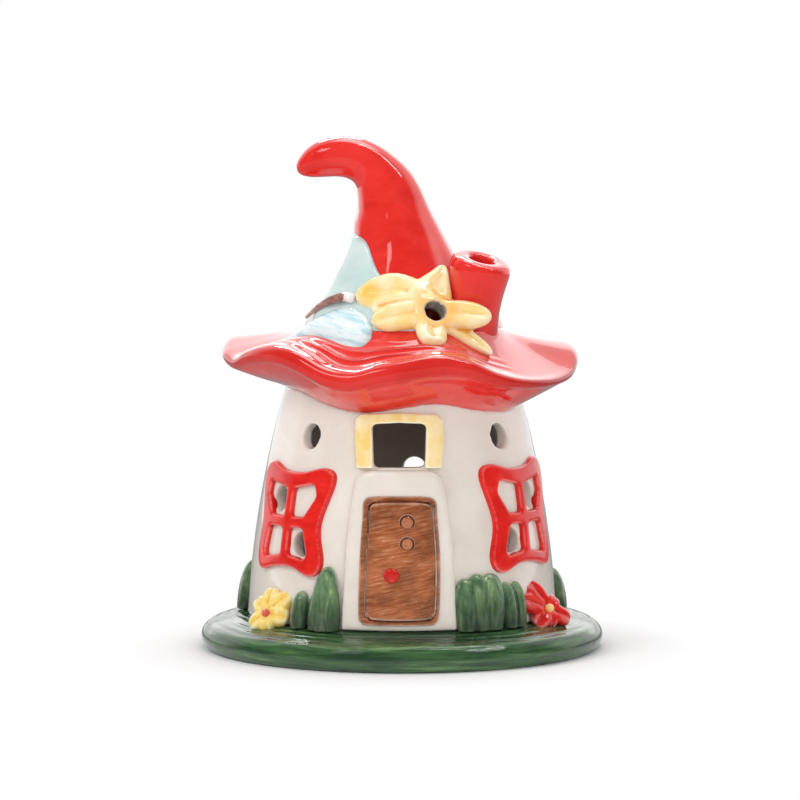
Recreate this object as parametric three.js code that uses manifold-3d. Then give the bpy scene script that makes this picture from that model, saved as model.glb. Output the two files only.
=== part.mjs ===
// Ceramic house luminary: a slip-cast cottage under a curled red hat, lit from inside by a tealight.
// Millimetres, +Z up. The origin is the middle of the foot and the door faces -Y.
// A direction round the house is given in degrees from the door, growing towards +X.
import * as THREE from "three";
import { mergeVertices } from "three/addons/utils/BufferGeometryUtils.js";
import Module from "manifold-3d";

const wasm = await Module();
wasm.setup();

// Clearance at every place where two clay parts are luted together
const JOIN = 0.3;

// Plinth
const PLINTH_RADIUS = 60.5;
const FLOOR_HEIGHT = 10.4;
const FLOOR_RADIUS = 48.5;
const FOOT_RING_RADIUS = 56.2;
const FOOT_RING_WIDTH = 4.5;
const FOOT_RECESS = 4.5;

// Wall of the house
const WALL_FOOT_RADIUS = 46.5;
const WALL_TOP_RADIUS = 35.8;
const WALL_HEIGHT = 65;
const WALL_THICKNESS = 4.5;
const WALL_UPRIGHTNESS = 0.38;

// The vents, side windows and plants are turned a little against the door
const SIDE_TURN = 2;

// Openings in the wall
const PUNCH_DIAMETER = 7.2;
const VENT_HEIGHT = 54.8;
const VENT_DIRECTION = 46.5;
const ATTIC_WIDTH = 15.4;
const ATTIC_HEIGHT = 12.8;
const ATTIC_SILL = 46.7;
const DOORWAY_WIDTH = 44;
const DOORWAY_HEIGHT = 30.5;
const BACK_VENT_HEIGHT = 39.9;
const BACK_VENT_DIRECTION = 174;

// Raised trim of the front
const FRONT_OFFSET = -0.8;
const SURROUND_WIDTH = 33.6;
const SURROUND_TO_SILL = 0.6;
const SURROUND_RELIEF = 2.4;
const DOOR_WIDTH = 22.6;
const DOOR_HEIGHT = 36;
const DOOR_SILL = 2.1;
const DOOR_RELIEF = 1.9;
const DOOR_MARGIN = 1.5;
const KNOB_DIAMETER = 3.3;
const STUD_DIAMETER = 3.2;
const FRAME_RELIEF = 1.9;
const ATTIC_POST = 5;
const ATTIC_LINTEL = 2.6;

// Side windows
const WINDOW_DIRECTION = 51.5;
const WINDOW_HEIGHT = 30.4;
const WINDOW_HALF_WIDTH = 15.2;
const WINDOW_HALF_HEIGHT = 15;
const WINDOW_BAR = 3.8;

// Brim of the hat
const BRIM_RADIUS = 50;
const BRIM_RISE = 20.8;
const BRIM_RIM_RISE = 9.6;
const BRIM_WALL = 4.5;
const BRIM_HOLE_RADIUS = 24;

// Crown of the hat
const CROWN_FOOT_RADIUS = 28.6;
const CROWN_CURL_HEIGHT = 40.2;
const CROWN_WALL = 3.5;
const BAND_THICKNESS = 1.2;

// Chimney
const CHIMNEY_DIAMETER = 18.2;
const CHIMNEY_HEIGHT = 24;
const CHIMNEY_LEAN_RIGHT = 14;
const CHIMNEY_LEAN_FRONT = 15;
const CHIMNEY_OUT = 20.7;
const CHIMNEY_DIRECTION = 61;

// Trimmings of the hat
const FLOWER_EYE_DIAMETER = 6.6;
const FLOWER_DIRECTION = 20.5;
const FLOWER_RISE = 5.2;
const PETAL_THICKNESS = 4.6;
const BOW_THICKNESS = 5;
const TWIG_DIAMETER = 3.6;

// Plants on the plinth
const LEAF_THICKNESS = 4.2;
const BLOOM_RADIUS = 8.4;
const BLOOM_THICKNESS = 4;

// Tealight
const TEALIGHT_DIAMETER = 38;
const TEALIGHT_HEIGHT = 15.5;
const TEALIGHT_SKIN = 0.5;
const WAX_LEVEL = 12;
const WICK_DIAMETER = 1.6;

const WALL_TOP = FLOOR_HEIGHT + WALL_HEIGHT;
const HAT_BASE = WALL_TOP + JOIN;
const BRIM_TOP = HAT_BASE + BRIM_RISE;
const CROWN_BASE = BRIM_TOP + JOIN;

const GLAZE = {
  red: { color: 0xd62a24, roughness: 0.12, metalness: 0 },
  white: { color: 0xe8e0d6, roughness: 0.14, metalness: 0 },
  yellow: { color: 0xf0d083, roughness: 0.14, metalness: 0 },
  petal: { color: 0xf8dc8a, roughness: 0.14, metalness: 0 },
  brown: { color: 0x9a5a3c, roughness: 0.16, metalness: 0 },
  twig: { color: 0x8c6a5c, roughness: 0.16, metalness: 0 },
  green: { color: 0x2f5535, roughness: 0.14, metalness: 0 },
  blue: { color: 0xcfe3e1, roughness: 0.14, metalness: 0 },
  orange: { color: 0xe88a2c, roughness: 0.14, metalness: 0 },
  aluminium: { color: 0xc9ccd0, roughness: 0.3, metalness: 1 },
  wax: { color: 0xf3efe4, roughness: 0.5, metalness: 0 },
  wick: { color: 0xe6ddc6, roughness: 0.9, metalness: 0 },
};

const house = new THREE.Group();
const parts = {};

function solidOf(geometry) {
  const bare = new THREE.BufferGeometry();
  bare.setAttribute("position", geometry.getAttribute("position"));
  bare.setIndex(geometry.index);
  const merged = mergeVertices(bare, 1e-4);
  return new wasm.Manifold(new wasm.Mesh({
    numProp: 3,
    vertProperties: merged.attributes.position.array,
    triVerts: new Uint32Array(merged.index.array),
  }));
}

function geometryOf(solid) {
  const mesh = solid.getMesh();
  const geometry = new THREE.BufferGeometry();
  geometry.setAttribute("position", new THREE.BufferAttribute(mesh.vertProperties, 3));
  geometry.setIndex(new THREE.BufferAttribute(mesh.triVerts, 1));
  geometry.computeVertexNormals();
  return geometry;
}

function addPart(name, solid, glaze, parent = house) {
  const mesh = new THREE.Mesh(geometryOf(solid), new THREE.MeshStandardMaterial(glaze));
  mesh.name = name;
  parent.add(mesh);
  parts[name] = mesh;
  return mesh;
}

function joined(solids) {
  return solids.reduce((sum, next) => sum.add(next));
}

function radians(degrees) {
  return THREE.MathUtils.degToRad(degrees);
}

// A point at a distance from the axis, facing a direction, at a height
function around(radius, direction, height) {
  const angle = radians(direction);
  return new THREE.Vector3(radius * Math.sin(angle), -radius * Math.cos(angle), height);
}

// The frame of something that faces outwards: x to its right, y up, z out of the house
function facing(direction, radius = 0, height = 0, tilt = 0) {
  const angle = radians(direction);
  const right = new THREE.Vector3(Math.cos(angle), Math.sin(angle), 0);
  const level = new THREE.Vector3(Math.sin(angle), -Math.cos(angle), 0);
  const out = level.clone().multiplyScalar(Math.cos(radians(tilt)));
  out.z = Math.sin(radians(tilt));
  const up = new THREE.Vector3().crossVectors(out, right);
  return new THREE.Matrix4()
    .makeBasis(right, up, out)
    .setPosition(around(radius, direction, height));
}

// A turned body whose profile may change with the direction. Profiles run up their outer side.
function turned(profileAt, steps) {
  const geometry = new THREE.LatheGeometry(profileAt(0), steps);
  const position = geometry.attributes.position;
  for (let step = 0; step <= steps; step += 1) {
    const direction = ((step % steps) * 360) / steps;
    const profile = profileAt(direction);
    profile.forEach((point, i) => {
      const place = around(point.x, direction, point.y);
      position.setXYZ(step * profile.length + i, place.x, place.y, place.z);
    });
  }
  return solidOf(geometry);
}

// A skin over a stack of rings with a flat end at the first and the last
function lofted(rings) {
  const sides = rings[0].length;
  const points = rings.flat();
  const index = [];
  for (let i = 0; i + 1 < rings.length; i += 1) {
    for (let j = 0; j < sides; j += 1) {
      const a = i * sides + j;
      const b = i * sides + ((j + 1) % sides);
      index.push(a, b, b + sides, a, b + sides, a + sides);
    }
  }
  for (const end of [0, rings.length - 1]) {
    const middle = new THREE.Vector3();
    rings[end].forEach((point) => middle.addScaledVector(point, 1 / sides));
    const hub = points.push(middle) - 1;
    for (let j = 0; j < sides; j += 1) {
      const a = end * sides + j;
      const b = end * sides + ((j + 1) % sides);
      index.push(...(end === 0 ? [hub, b, a] : [hub, a, b]));
    }
  }
  const geometry = new THREE.BufferGeometry().setFromPoints(points);
  geometry.setIndex(index);
  return solidOf(geometry);
}

// Reads a column of a table of directions as a smooth closed curve through its rows
function waved(rows, direction, column) {
  const turn = THREE.MathUtils.euclideanModulo(direction, 360);
  const later = rows.findIndex((row) => row[0] > turn);
  const next = later < 0 ? rows.length : later;
  const [[d0, v0], [d1, v1], [d2, v2], [d3, v3]] = [-2, -1, 0, 1].map((step) => {
    const i = next + step;
    const row = rows[THREE.MathUtils.euclideanModulo(i, rows.length)];
    return [row[0] + 360 * Math.floor(i / rows.length), row[column]];
  });
  const share = (turn - d1) / (d2 - d1);
  const leave = ((v2 - v0) / (d2 - d0)) * (d2 - d1);
  const arrive = ((v3 - v1) / (d3 - d1)) * (d2 - d1);
  const ease = share * share * (3 - 2 * share);
  return v1 + (v2 - v1) * ease
    + leave * share * (1 - share) ** 2
    - arrive * share * share * (1 - share);
}

// A soft closed outline through a few points, each [right, up]
function softOutline(points, divisions, grow = 1) {
  const corners = points.map(([x, y]) => new THREE.Vector3(x * grow, y * grow, 0));
  const curve = new THREE.CatmullRomCurve3(corners, true, "centripetal");
  const outline = curve.getPoints(divisions).slice(0, -1);
  return outline.map((point) => new THREE.Vector2(point.x, point.y));
}

// An outline pushed out of the house from one distance to another
function pushed(outline, near, far, matrix) {
  const shape = outline instanceof THREE.Shape ? outline : new THREE.Shape(outline);
  const geometry = new THREE.ExtrudeGeometry(shape, {
    depth: far - near,
    bevelEnabled: false,
    curveSegments: 5,
  });
  geometry.translate(0, 0, near);
  geometry.applyMatrix4(matrix);
  return solidOf(geometry);
}

function punch(diameter, matrix, near, far, sides = 14) {
  const geometry = new THREE.CylinderGeometry(diameter / 2, diameter / 2, far - near, sides);
  geometry.rotateX(Math.PI / 2);
  geometry.translate(0, 0, (near + far) / 2);
  geometry.applyMatrix4(matrix);
  return solidOf(geometry);
}

// Plinth: a thick disc with a rounded edge, a glazed floor and a ground foot ring

function plinthProfile(grow = 0) {
  const edge = PLINTH_RADIUS + grow;
  const footOut = FOOT_RING_RADIUS + FOOT_RING_WIDTH / 2;
  const footIn = FOOT_RING_RADIUS - FOOT_RING_WIDTH / 2;
  const floor = FLOOR_HEIGHT + grow;
  const fall = PLINTH_RADIUS - FLOOR_RADIUS;
  const profile = [
    [0, FOOT_RECESS],
    [footIn - 2, FOOT_RECESS],
    [footIn, 0],
    [footOut, 0],
    [edge - 0.9, FLOOR_HEIGHT * 0.13],
    [edge, FLOOR_HEIGHT * 0.37],
    [edge - 0.6, FLOOR_HEIGHT * 0.6 + grow / 2],
    [edge - 2.3, FLOOR_HEIGHT * 0.74 + grow],
    [FLOOR_RADIUS + fall * 0.5, FLOOR_HEIGHT * 0.85 + grow],
    [FLOOR_RADIUS, floor],
    [0, floor],
  ];
  return profile.map(([radius, height]) => new THREE.Vector2(radius, height));
}

addPart("base_plinth", turned(() => plinthProfile(), 52), GLAZE.green);
const plinthCut = turned(() => plinthProfile(JOIN), 52);

// Wall: a cast shell that leans in towards the eaves

const WAVE_STEPS = 60;

function wallRadius(height) {
  const share = (height - FLOOR_HEIGHT) / WALL_HEIGHT;
  const lean = WALL_UPRIGHTNESS * share + (1 - WALL_UPRIGHTNESS) * share * share;
  return WALL_FOOT_RADIUS + (WALL_TOP_RADIUS - WALL_FOOT_RADIUS) * lean;
}

// Direction and height of the seam under the hat, from its mean level: it waves with the rim
const SEAM_WAVE = [
  [0, -1.2],
  [14, 0],
  [25, -0.7],
  [36, -2.1],
  [57, -3],
  [75, -1],
  [95, 0.3],
  [125, 1],
  [165, -0.8],
  [188, 0],
  [208, -0.5],
  [240, 2],
  [284, 3.4],
  [305, 2.4],
  [322, -0.4],
  [341, -2.5],
];

function seamAt(direction) {
  return WALL_TOP + waved(SEAM_WAVE, direction, 1);
}

// A ring that follows the wall between two offsets from its outer face, up to the seam
function wallSkin(inner, outer, low = FLOOR_HEIGHT, above = 0) {
  const rows = 4;
  return turned((direction) => {
    const high = seamAt(direction) + above;
    const heights = [...Array(rows + 1).keys()].map((row) => low + ((high - low) * row) / rows);
    const outside = heights.map((height) => [wallRadius(height) + outer, height]);
    const inside = heights.reverse().map((height) => [wallRadius(height) + inner, height]);
    const ring = [...outside, ...inside, outside[0]];
    return ring.map(([radius, height]) => new THREE.Vector2(radius, height));
  }, WAVE_STEPS);
}

const REACH = WALL_FOOT_RADIUS * 1.43;
const CORE = WALL_TOP_RADIUS * 0.6;

function atticOutline(width, height) {
  const half = width / 2;
  const corners = [
    [-half * 0.94, -height / 2],
    [half * 0.94, -height / 2],
    [half, height * 0.44],
    [half * 0.86, height / 2],
    [0, height * 0.53],
    [-half * 0.9, height * 0.5],
    [-half, height * 0.42],
  ];
  return corners.map(([x, y]) => new THREE.Vector2(x, y));
}

function doorwayOutline() {
  const half = DOORWAY_WIDTH / 2;
  const spring = DOORWAY_HEIGHT - half * 0.8;
  const shape = new THREE.Shape();
  shape.moveTo(-half, -1);
  shape.lineTo(half, -1);
  shape.lineTo(half, spring);
  shape.absellipse(0, spring, half, DOORWAY_HEIGHT - spring, 0, Math.PI, false);
  return shape;
}

// One pane of a side window, as [right, up] shares of the half width and half height
const PANES = [
  [[-0.62, 0.72], [-0.7, 0.5], [-0.44, 0.1], [0, 0.1], [0, 0.62]],
  [[0, 0.62], [0, 0.1], [0.5, 0.1], [0.74, 0.48], [0.72, 0.72]],
  [[-0.46, -0.12], [-0.62, -0.6], [-0.56, -0.7], [0, -0.62], [0, -0.12]],
  [[0, -0.12], [0, -0.62], [0.6, -0.7], [0.64, -0.58], [0.54, -0.12]],
];

const WINDOW_OUTLINE = [
  [-1.06, 0.82],
  [-0.82, 1.06],
  [-0.26, 0.96],
  [0.28, 0.98],
  [0.84, 1.12],
  [1.12, 0.84],
  [0.93, 0.06],
  [0.97, -0.68],
  [0.78, -0.99],
  [0.26, -0.9],
  [-0.26, -0.88],
  [-0.78, -1.04],
  [-1, -0.76],
  [-0.86, -0.06],
];

// Both windows mirror each other: right is away from the door
function windowPoint([x, y], side) {
  return [x * WINDOW_HALF_WIDTH * side, y * WINDOW_HALF_HEIGHT];
}

function windowDirection(side) {
  return side * WINDOW_DIRECTION + SIDE_TURN;
}

function paneMiddle(pane, side) {
  const bar = WINDOW_BAR / 2;
  const points = PANES[pane].map((point) => windowPoint(point, side));
  const sum = points.reduce(([sx, sy], [x, y]) => [sx + x, sy + y]);
  const x = sum[0] / points.length;
  return [x + Math.sign(x) * bar * 0.5, sum[1] / points.length];
}

function windowFrame(side, place) {
  const bar = WINDOW_BAR / 2;
  const outline = WINDOW_OUTLINE.map((point) => windowPoint(point, side));
  const panes = PANES.map((pane) => {
    const half = Math.sign(pane.reduce((sum, [x]) => sum + x, 0)) * side;
    const points = pane.map((point) => {
      const [x, y] = windowPoint(point, side);
      return new THREE.Vector2(x === 0 ? half * bar : x, y);
    });
    return pushed(points, CORE, REACH, place);
  });
  return pushed(softOutline(outline, 26), CORE, REACH, place).subtract(joined(panes));
}

// The two punched panes of each window: upper one away from the door, lower one beside it
const PUNCHED_PANES = [1, 2];
const windowHeight = FLOOR_HEIGHT + WINDOW_HEIGHT;

function wallPunches() {
  const cuts = [];
  for (const side of [-1, 1]) {
    const vent = facing(side * VENT_DIRECTION + SIDE_TURN, 0, FLOOR_HEIGHT + VENT_HEIGHT);
    cuts.push(punch(PUNCH_DIAMETER, vent, CORE, REACH));
    for (const pane of PUNCHED_PANES) {
      const [x, y] = paneMiddle(pane, side);
      const turn = THREE.MathUtils.radToDeg(Math.asin(x / wallRadius(windowHeight)));
      const place = facing(windowDirection(side) + turn, 0, windowHeight + y);
      cuts.push(punch(PUNCH_DIAMETER, place, CORE, REACH));
    }
  }
  const back = facing(BACK_VENT_DIRECTION, 0, FLOOR_HEIGHT + BACK_VENT_HEIGHT);
  cuts.push(punch(PUNCH_DIAMETER, back, CORE, REACH));
  return cuts;
}

const atticMiddle = FLOOR_HEIGHT + ATTIC_SILL + ATTIC_HEIGHT / 2;
const front = facing(0).setPosition(FRONT_OFFSET, 0, 0);
const atticPlace = front.clone().multiply(new THREE.Matrix4().makeTranslation(0, atticMiddle, 0));
const atticCut = pushed(atticOutline(ATTIC_WIDTH, ATTIC_HEIGHT), CORE * 0.5, REACH, atticPlace);
const doorwayCut = pushed(doorwayOutline(), CORE * 0.5, REACH, facing(180, 0, FLOOR_HEIGHT));
const wall = joined(wallPunches().concat(atticCut, doorwayCut));
addPart("wall_shell", wallSkin(-WALL_THICKNESS, 0).subtract(wall), GLAZE.white);
const wallCut = wallSkin(-WALL_THICKNESS - 6, JOIN, FLOOR_HEIGHT - 2, 1);

// Trim of the front: sprigged slabs that follow the curve of the wall

function surroundOutline(width, height) {
  const half = width / 2;
  const shape = new THREE.Shape();
  shape.moveTo(-half, 0);
  shape.lineTo(half, 0);
  shape.lineTo(half * 0.91, height * 0.56);
  shape.lineTo(half * 0.8, height * 0.84);
  shape.quadraticCurveTo(half * 0.68, height, half * 0.42, height);
  shape.lineTo(-half * 0.42, height);
  shape.quadraticCurveTo(-half * 0.7, height, -half * 0.8, height * 0.84);
  shape.lineTo(-half * 0.91, height * 0.56);
  return shape;
}

function doorOutline(inset) {
  const half = DOOR_WIDTH / 2 - inset;
  const low = inset;
  const high = DOOR_HEIGHT - inset;
  const corner = 3.4;
  const shape = new THREE.Shape();
  shape.moveTo(-half, low + corner);
  shape.quadraticCurveTo(-half, low, -half + corner, low);
  shape.lineTo(half - corner - 0.5, low);
  shape.quadraticCurveTo(half - 0.5, low, half - 0.3, low + corner);
  shape.lineTo(half, high * 0.6);
  shape.lineTo(half * 0.9, high - corner);
  shape.quadraticCurveTo(half * 0.85, high, half * 0.85 - corner, high);
  shape.lineTo(-half * 0.85 + corner, high);
  shape.quadraticCurveTo(-half * 0.85, high, -half * 0.87, high - corner);
  return shape;
}

const surroundFace = JOIN + SURROUND_RELIEF;
const surround = pushed(
  surroundOutline(SURROUND_WIDTH, ATTIC_SILL - SURROUND_TO_SILL - JOIN),
  0,
  REACH,
  front.clone().multiply(new THREE.Matrix4().makeTranslation(0, FLOOR_HEIGHT + JOIN, 0)),
);
const surroundSolid = surround.intersect(wallSkin(JOIN, surroundFace));
addPart("door_surround", surroundSolid.subtract(plinthCut), GLAZE.white);

const doorPlace = front
  .clone()
  .multiply(new THREE.Matrix4().makeTranslation(0, FLOOR_HEIGHT + DOOR_SILL, 0));
const doorBack = surroundFace + JOIN;
const doorFace = doorBack + DOOR_RELIEF;
const doorEdge = pushed(doorOutline(0), 0, REACH, doorPlace)
  .intersect(wallSkin(doorBack, doorBack + DOOR_RELIEF * 0.45));
const doorPanel = pushed(doorOutline(DOOR_MARGIN), 0, REACH, doorPlace)
  .intersect(wallSkin(doorBack, doorFace));
addPart("door", doorEdge.add(doorPanel), GLAZE.brown);

// A domed button standing on the door, given its place on the door's width and height
function doorButton(diameter, across, up, dome) {
  const x = FRONT_OFFSET + across * DOOR_WIDTH;
  const height = FLOOR_HEIGHT + DOOR_SILL + up * DOOR_HEIGHT;
  const depth = Math.sqrt((wallRadius(height) + doorFace) ** 2 - x ** 2);
  const ball = new THREE.SphereGeometry(diameter / 2, 10, 6);
  ball.scale(1, 1, dome);
  ball.applyMatrix4(facing(0).setPosition(x, -depth - 0.2, height));
  return solidOf(ball).subtract(wallSkin(-1, doorFace + JOIN));
}

addPart("door_knob", doorButton(KNOB_DIAMETER, -0.1, 0.4, 1.1), GLAZE.red);
addPart("door_stud_upper", doorButton(STUD_DIAMETER, 0.1, 0.82, 0.8), GLAZE.brown);
addPart("door_stud_lower", doorButton(STUD_DIAMETER, 0.1, 0.65, 0.8), GLAZE.brown);

const atticFrame = atticOutline(ATTIC_WIDTH + 2 * ATTIC_POST, ATTIC_HEIGHT + 2 * ATTIC_LINTEL);
const atticSlot = atticOutline(ATTIC_WIDTH + 1.2, ATTIC_HEIGHT + 0.8);
const belowSill = new THREE.BoxGeometry(2 * REACH, 2 * REACH, ATTIC_SILL);
belowSill.translate(0, 0, FLOOR_HEIGHT + ATTIC_SILL / 2);
addPart(
  "attic_window_frame",
  pushed(atticFrame, 0, REACH, atticPlace)
    .subtract(pushed(atticSlot, 0, REACH, atticPlace))
    .subtract(solidOf(belowSill))
    .intersect(wallSkin(JOIN, JOIN + FRAME_RELIEF))
    .subtract(pushed(
      atticOutline(ATTIC_WIDTH + 1.2, ATTIC_HEIGHT * 2),
      0,
      REACH,
      front.clone().multiply(new THREE.Matrix4().makeTranslation(0, atticMiddle - ATTIC_HEIGHT / 2, 0)),
    )),
  GLAZE.yellow,
);

// Side windows: a butterfly-shaped frame with four panes, of which two are punched through

for (const [name, side] of [["left_window_frame", -1], ["right_window_frame", 1]]) {
  const place = facing(windowDirection(side), 0, windowHeight);
  const frame = windowFrame(side, place);
  addPart(name, frame.intersect(wallSkin(JOIN, JOIN + FRAME_RELIEF)), GLAZE.red);
}

// Brim: a hollow fold of clay with a hand-waved rolled rim

// Direction, reach beyond the mean radius, lift of the rim's crest and depth of the roll below it
const RIM_WAVE = [
  [0, -3.2, 3.1, 6.5],
  [14, -3, 4.8, 6.8],
  [26, -2.4, 3.1, 6],
  [36, -1.7, -0.3, 5],
  [46, -0.8, -2.3, 3.6],
  [57, 0.4, -2.9, 3],
  [68, 1.3, -2.3, 3],
  [78, 2.1, -0.4, 3.4],
  [90, 2.8, 4.2, 4.2],
  [105, 2.4, 6.8, 5],
  [125, 1.2, 7.5, 5.5],
  [145, 0.5, 6, 6],
  [165, 0, 3.5, 6],
  [188, 0, 5.2, 6],
  [208, 0.3, 4.4, 6],
  [228, 1.5, 7.2, 6],
  [248, 3, 8.4, 5.5],
  [262, 3.9, 7.6, 5],
  [274, 3.7, 4.8, 4.5],
  [284, 2, 3, 4.5],
  [294, 1, 5.3, 5],
  [305, 0, 6.9, 5.5],
  [314, -0.8, 6.5, 5.8],
  [322, -1.6, 4.4, 6],
  [331, -2.3, 1, 6],
  [341, -2.8, -0.1, 6.2],
  [350, -3.1, 1.6, 6.4],
];

function rimAt(direction) {
  const reach = BRIM_RADIUS + waved(RIM_WAVE, direction, 1);
  const top = HAT_BASE + BRIM_RIM_RISE + waved(RIM_WAVE, direction, 2);
  return { reach, top, under: top - waved(RIM_WAVE, direction, 3) };
}

const brimSeat = CROWN_FOOT_RADIUS + 1.6;

// Height of the brim's upper face, falling from the crown to just behind the crest
function brimTop(direction, radius) {
  const rim = rimAt(direction);
  const share = (radius - brimSeat) / (rim.reach - 2.6 - brimSeat);
  const fall = THREE.MathUtils.clamp(share, 0, 1) ** 0.9;
  return THREE.MathUtils.lerp(BRIM_TOP, rim.top, fall);
}

// The under face climbs from the seam on the wall to the foot of the roll
function brimUnder(direction, radius) {
  const rim = rimAt(direction);
  const seam = seamAt(direction);
  const from = wallRadius(seam) + 0.4;
  const share = THREE.MathUtils.clamp((radius - from) / (rim.reach - 1.6 - from), 0, 1);
  return THREE.MathUtils.lerp(seam + JOIN, rim.under, share ** 1.2);
}

function brimProfile(direction) {
  const { reach, top, under } = rimAt(direction);
  const seam = seamAt(direction) + JOIN;
  const seatIn = WALL_TOP_RADIUS - WALL_THICKNESS;
  const seatOut = wallRadius(seam) + 0.4;
  const rollIn = reach - 1.6;
  const slope = [1 / 3, 2 / 3].map((share) => {
    const radius = THREE.MathUtils.lerp(seatOut, rollIn, share);
    return [radius, brimUnder(direction, radius)];
  });
  const hollow = reach - 12;
  const hollowHigh = brimTop(direction, hollow) - BRIM_WALL;
  const hollowLow = brimUnder(direction, hollow) + BRIM_WALL;
  const hollowMiddle = (hollowHigh + hollowLow) / 2;
  const opening = Math.max(hollowHigh - hollowLow, 0.6) / 2;
  const shoulder = (reach + brimSeat) / 2 - 1;
  const ceiling = (BRIM_HOLE_RADIUS + hollow) / 2;
  const profile = [
    [seatIn, seam],
    [seatOut, seam],
    ...slope,
    [rollIn, under],
    [reach - 0.3, under + (top - under) * 0.28],
    [reach, under + (top - under) * 0.55],
    [reach - 0.8, under + (top - under) * 0.85],
    [reach - 2.6, top],
    [reach - 6.5, brimTop(direction, reach - 6.5)],
    [shoulder, brimTop(direction, shoulder)],
    [brimSeat, BRIM_TOP],
    [BRIM_HOLE_RADIUS, BRIM_TOP],
    [BRIM_HOLE_RADIUS, BRIM_TOP - BRIM_WALL],
    [ceiling, brimTop(direction, ceiling) - BRIM_WALL * 1.3],
    [hollow, hollowMiddle + opening],
    [hollow, hollowMiddle - opening],
    [seatIn + 1, seam + BRIM_WALL],
    [seatIn, seam],
  ];
  return profile.map(([radius, height]) => new THREE.Vector2(radius, height));
}

// A plain block under the brim's upper face, for fitting what sits on it
function brimBlock(direction, grow) {
  const { reach, top } = rimAt(direction);
  const shoulder = (reach + brimSeat) / 2 - 1;
  const profile = [
    [0, HAT_BASE],
    [reach - 2, HAT_BASE],
    [reach + grow, top - 2],
    [reach - 2.6, top + grow],
    [reach - 6.5, brimTop(direction, reach - 6.5) + grow],
    [shoulder, brimTop(direction, shoulder) + grow],
    [brimSeat, BRIM_TOP + grow],
    [0, BRIM_TOP + grow],
  ];
  return profile.map(([radius, height]) => new THREE.Vector2(radius, height));
}

const brimCut = turned((direction) => brimBlock(direction, JOIN * 1.6), WAVE_STEPS);

// Crown: a hollow peak that curls over to the left

// Middle to the right, rise as a share of the curl's height, radius, and lean in degrees
const CROWN_SECTIONS = [
  [0.3, 0, 28.6, 0],
  [0.3, 0.092, 27.2, 0],
  [0.1, 0.192, 24.8, 0],
  [-0.3, 0.303, 20.9, 0],
  [-0.5, 0.428, 18, 0],
  [-0.5, 0.535, 15.8, 0],
  [-0.8, 0.639, 13.9, 0],
  [-1.9, 0.759, 12.5, 0],
  [-2.6, 0.876, 10.7, 1],
  [-3.9, 1, 9.6, 4],
  [-5.6, 1.085, 8.5, 16],
  [-8.3, 1.154, 7.3, 33],
  [-11.2, 1.204, 6.7, 51],
  [-14.8, 1.24, 6.4, 70],
  [-18.9, 1.25, 6.1, 84],
  [-23.5, 1.235, 5.6, 95],
  [-27.5, 1.204, 4.5, 100],
  [-30.3, 1.17, 2.6, 103],
  [-31.4, 1.158, 1, 104],
];
const CROWN_SIDES = 24;

// Soft vertical folds, deepest near the foot
function foldAt(angle, share) {
  const depth = 0.022 * THREE.MathUtils.clamp(1.1 - share, 0, 1);
  return 1 + depth * (Math.cos(5 * angle + 0.6) + 0.6 * Math.cos(8 * angle + 2));
}

// Radius of a section: the lower half of the crown flares with its foot
function sectionRadius([, share, radius]) {
  return share < 0.5 ? (radius * CROWN_FOOT_RADIUS) / CROWN_SECTIONS[0][2] : radius;
}

function crownRings(grow, first = 0, last = CROWN_SECTIONS.length - 1) {
  return CROWN_SECTIONS.slice(first, last + 1).map((section) => {
    const [x, share, , lean] = section;
    const size = sectionRadius(section) + grow;
    const middle = new THREE.Vector3(x, 0, CROWN_BASE + share * CROWN_CURL_HEIGHT);
    const across = new THREE.Vector3(Math.cos(radians(lean)), 0, Math.sin(radians(lean)));
    const ring = [];
    for (let i = 0; i < CROWN_SIDES; i += 1) {
      const angle = (i / CROWN_SIDES) * 2 * Math.PI;
      const reach = size * (share < 1 ? foldAt(angle, share) : 1);
      const point = middle.clone().addScaledVector(across, reach * Math.cos(angle));
      point.y += reach * Math.sin(angle);
      ring.push(point);
    }
    return ring;
  });
}

// The first ring carried straight down, so that a cut reaches below the crown's foot
function withSkirt(rings, drop) {
  const skirt = rings[0].map((point) => point.clone().setZ(point.z - drop));
  return [skirt, ...rings];
}

const crownOuter = lofted(crownRings(0));
const crownHollow = lofted(withSkirt(crownRings(-CROWN_WALL, 0, 8), 2));
const crownCut = lofted(withSkirt(crownRings(JOIN), 2));

// Radius of the crown at a height above its base, on the side that faces a direction
function crownRadius(rise) {
  const share = rise / CROWN_CURL_HEIGHT;
  const next = Math.max(CROWN_SECTIONS.findIndex((row) => row[1] >= share), 1);
  const [low, high] = [CROWN_SECTIONS[next - 1], CROWN_SECTIONS[next]];
  return THREE.MathUtils.mapLinear(share, low[1], high[1], sectionRadius(low), sectionRadius(high));
}

// Chimney: a short leaning pot whose bore runs through into the hat

const chimney = new THREE.Matrix4()
  .setPosition(around(CHIMNEY_OUT, CHIMNEY_DIRECTION, BRIM_TOP - 2))
  .multiply(new THREE.Matrix4().makeRotationY(radians(CHIMNEY_LEAN_RIGHT)))
  .multiply(new THREE.Matrix4().makeRotationX(radians(CHIMNEY_LEAN_FRONT)));

function chimneyProfile(grow) {
  const rim = CHIMNEY_DIAMETER / 2 + grow;
  const neck = rim * 0.9;
  const top = CHIMNEY_HEIGHT + grow;
  const profile = [
    [0, 0],
    [neck + 2.6, 0],
    [neck + 0.9, top * 0.2],
    [neck, top * 0.4],
    [neck + 0.3, top * 0.7],
    [rim, top * 0.85],
    [rim - 0.6, top * 0.93],
    [rim - 2.4, top],
    [PUNCH_DIAMETER / 2 + 1, top],
    [PUNCH_DIAMETER / 2, top - 0.8],
    [0, top - 0.8],
  ];
  return profile.map(([radius, height]) => new THREE.Vector2(radius, height));
}

function chimneyBody(grow) {
  return turned(() => chimneyProfile(grow), 24).transform(chimney.elements);
}

const flue = punch(PUNCH_DIAMETER, chimney, -CHIMNEY_HEIGHT * 0.67, CHIMNEY_HEIGHT * 1.2);

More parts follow.
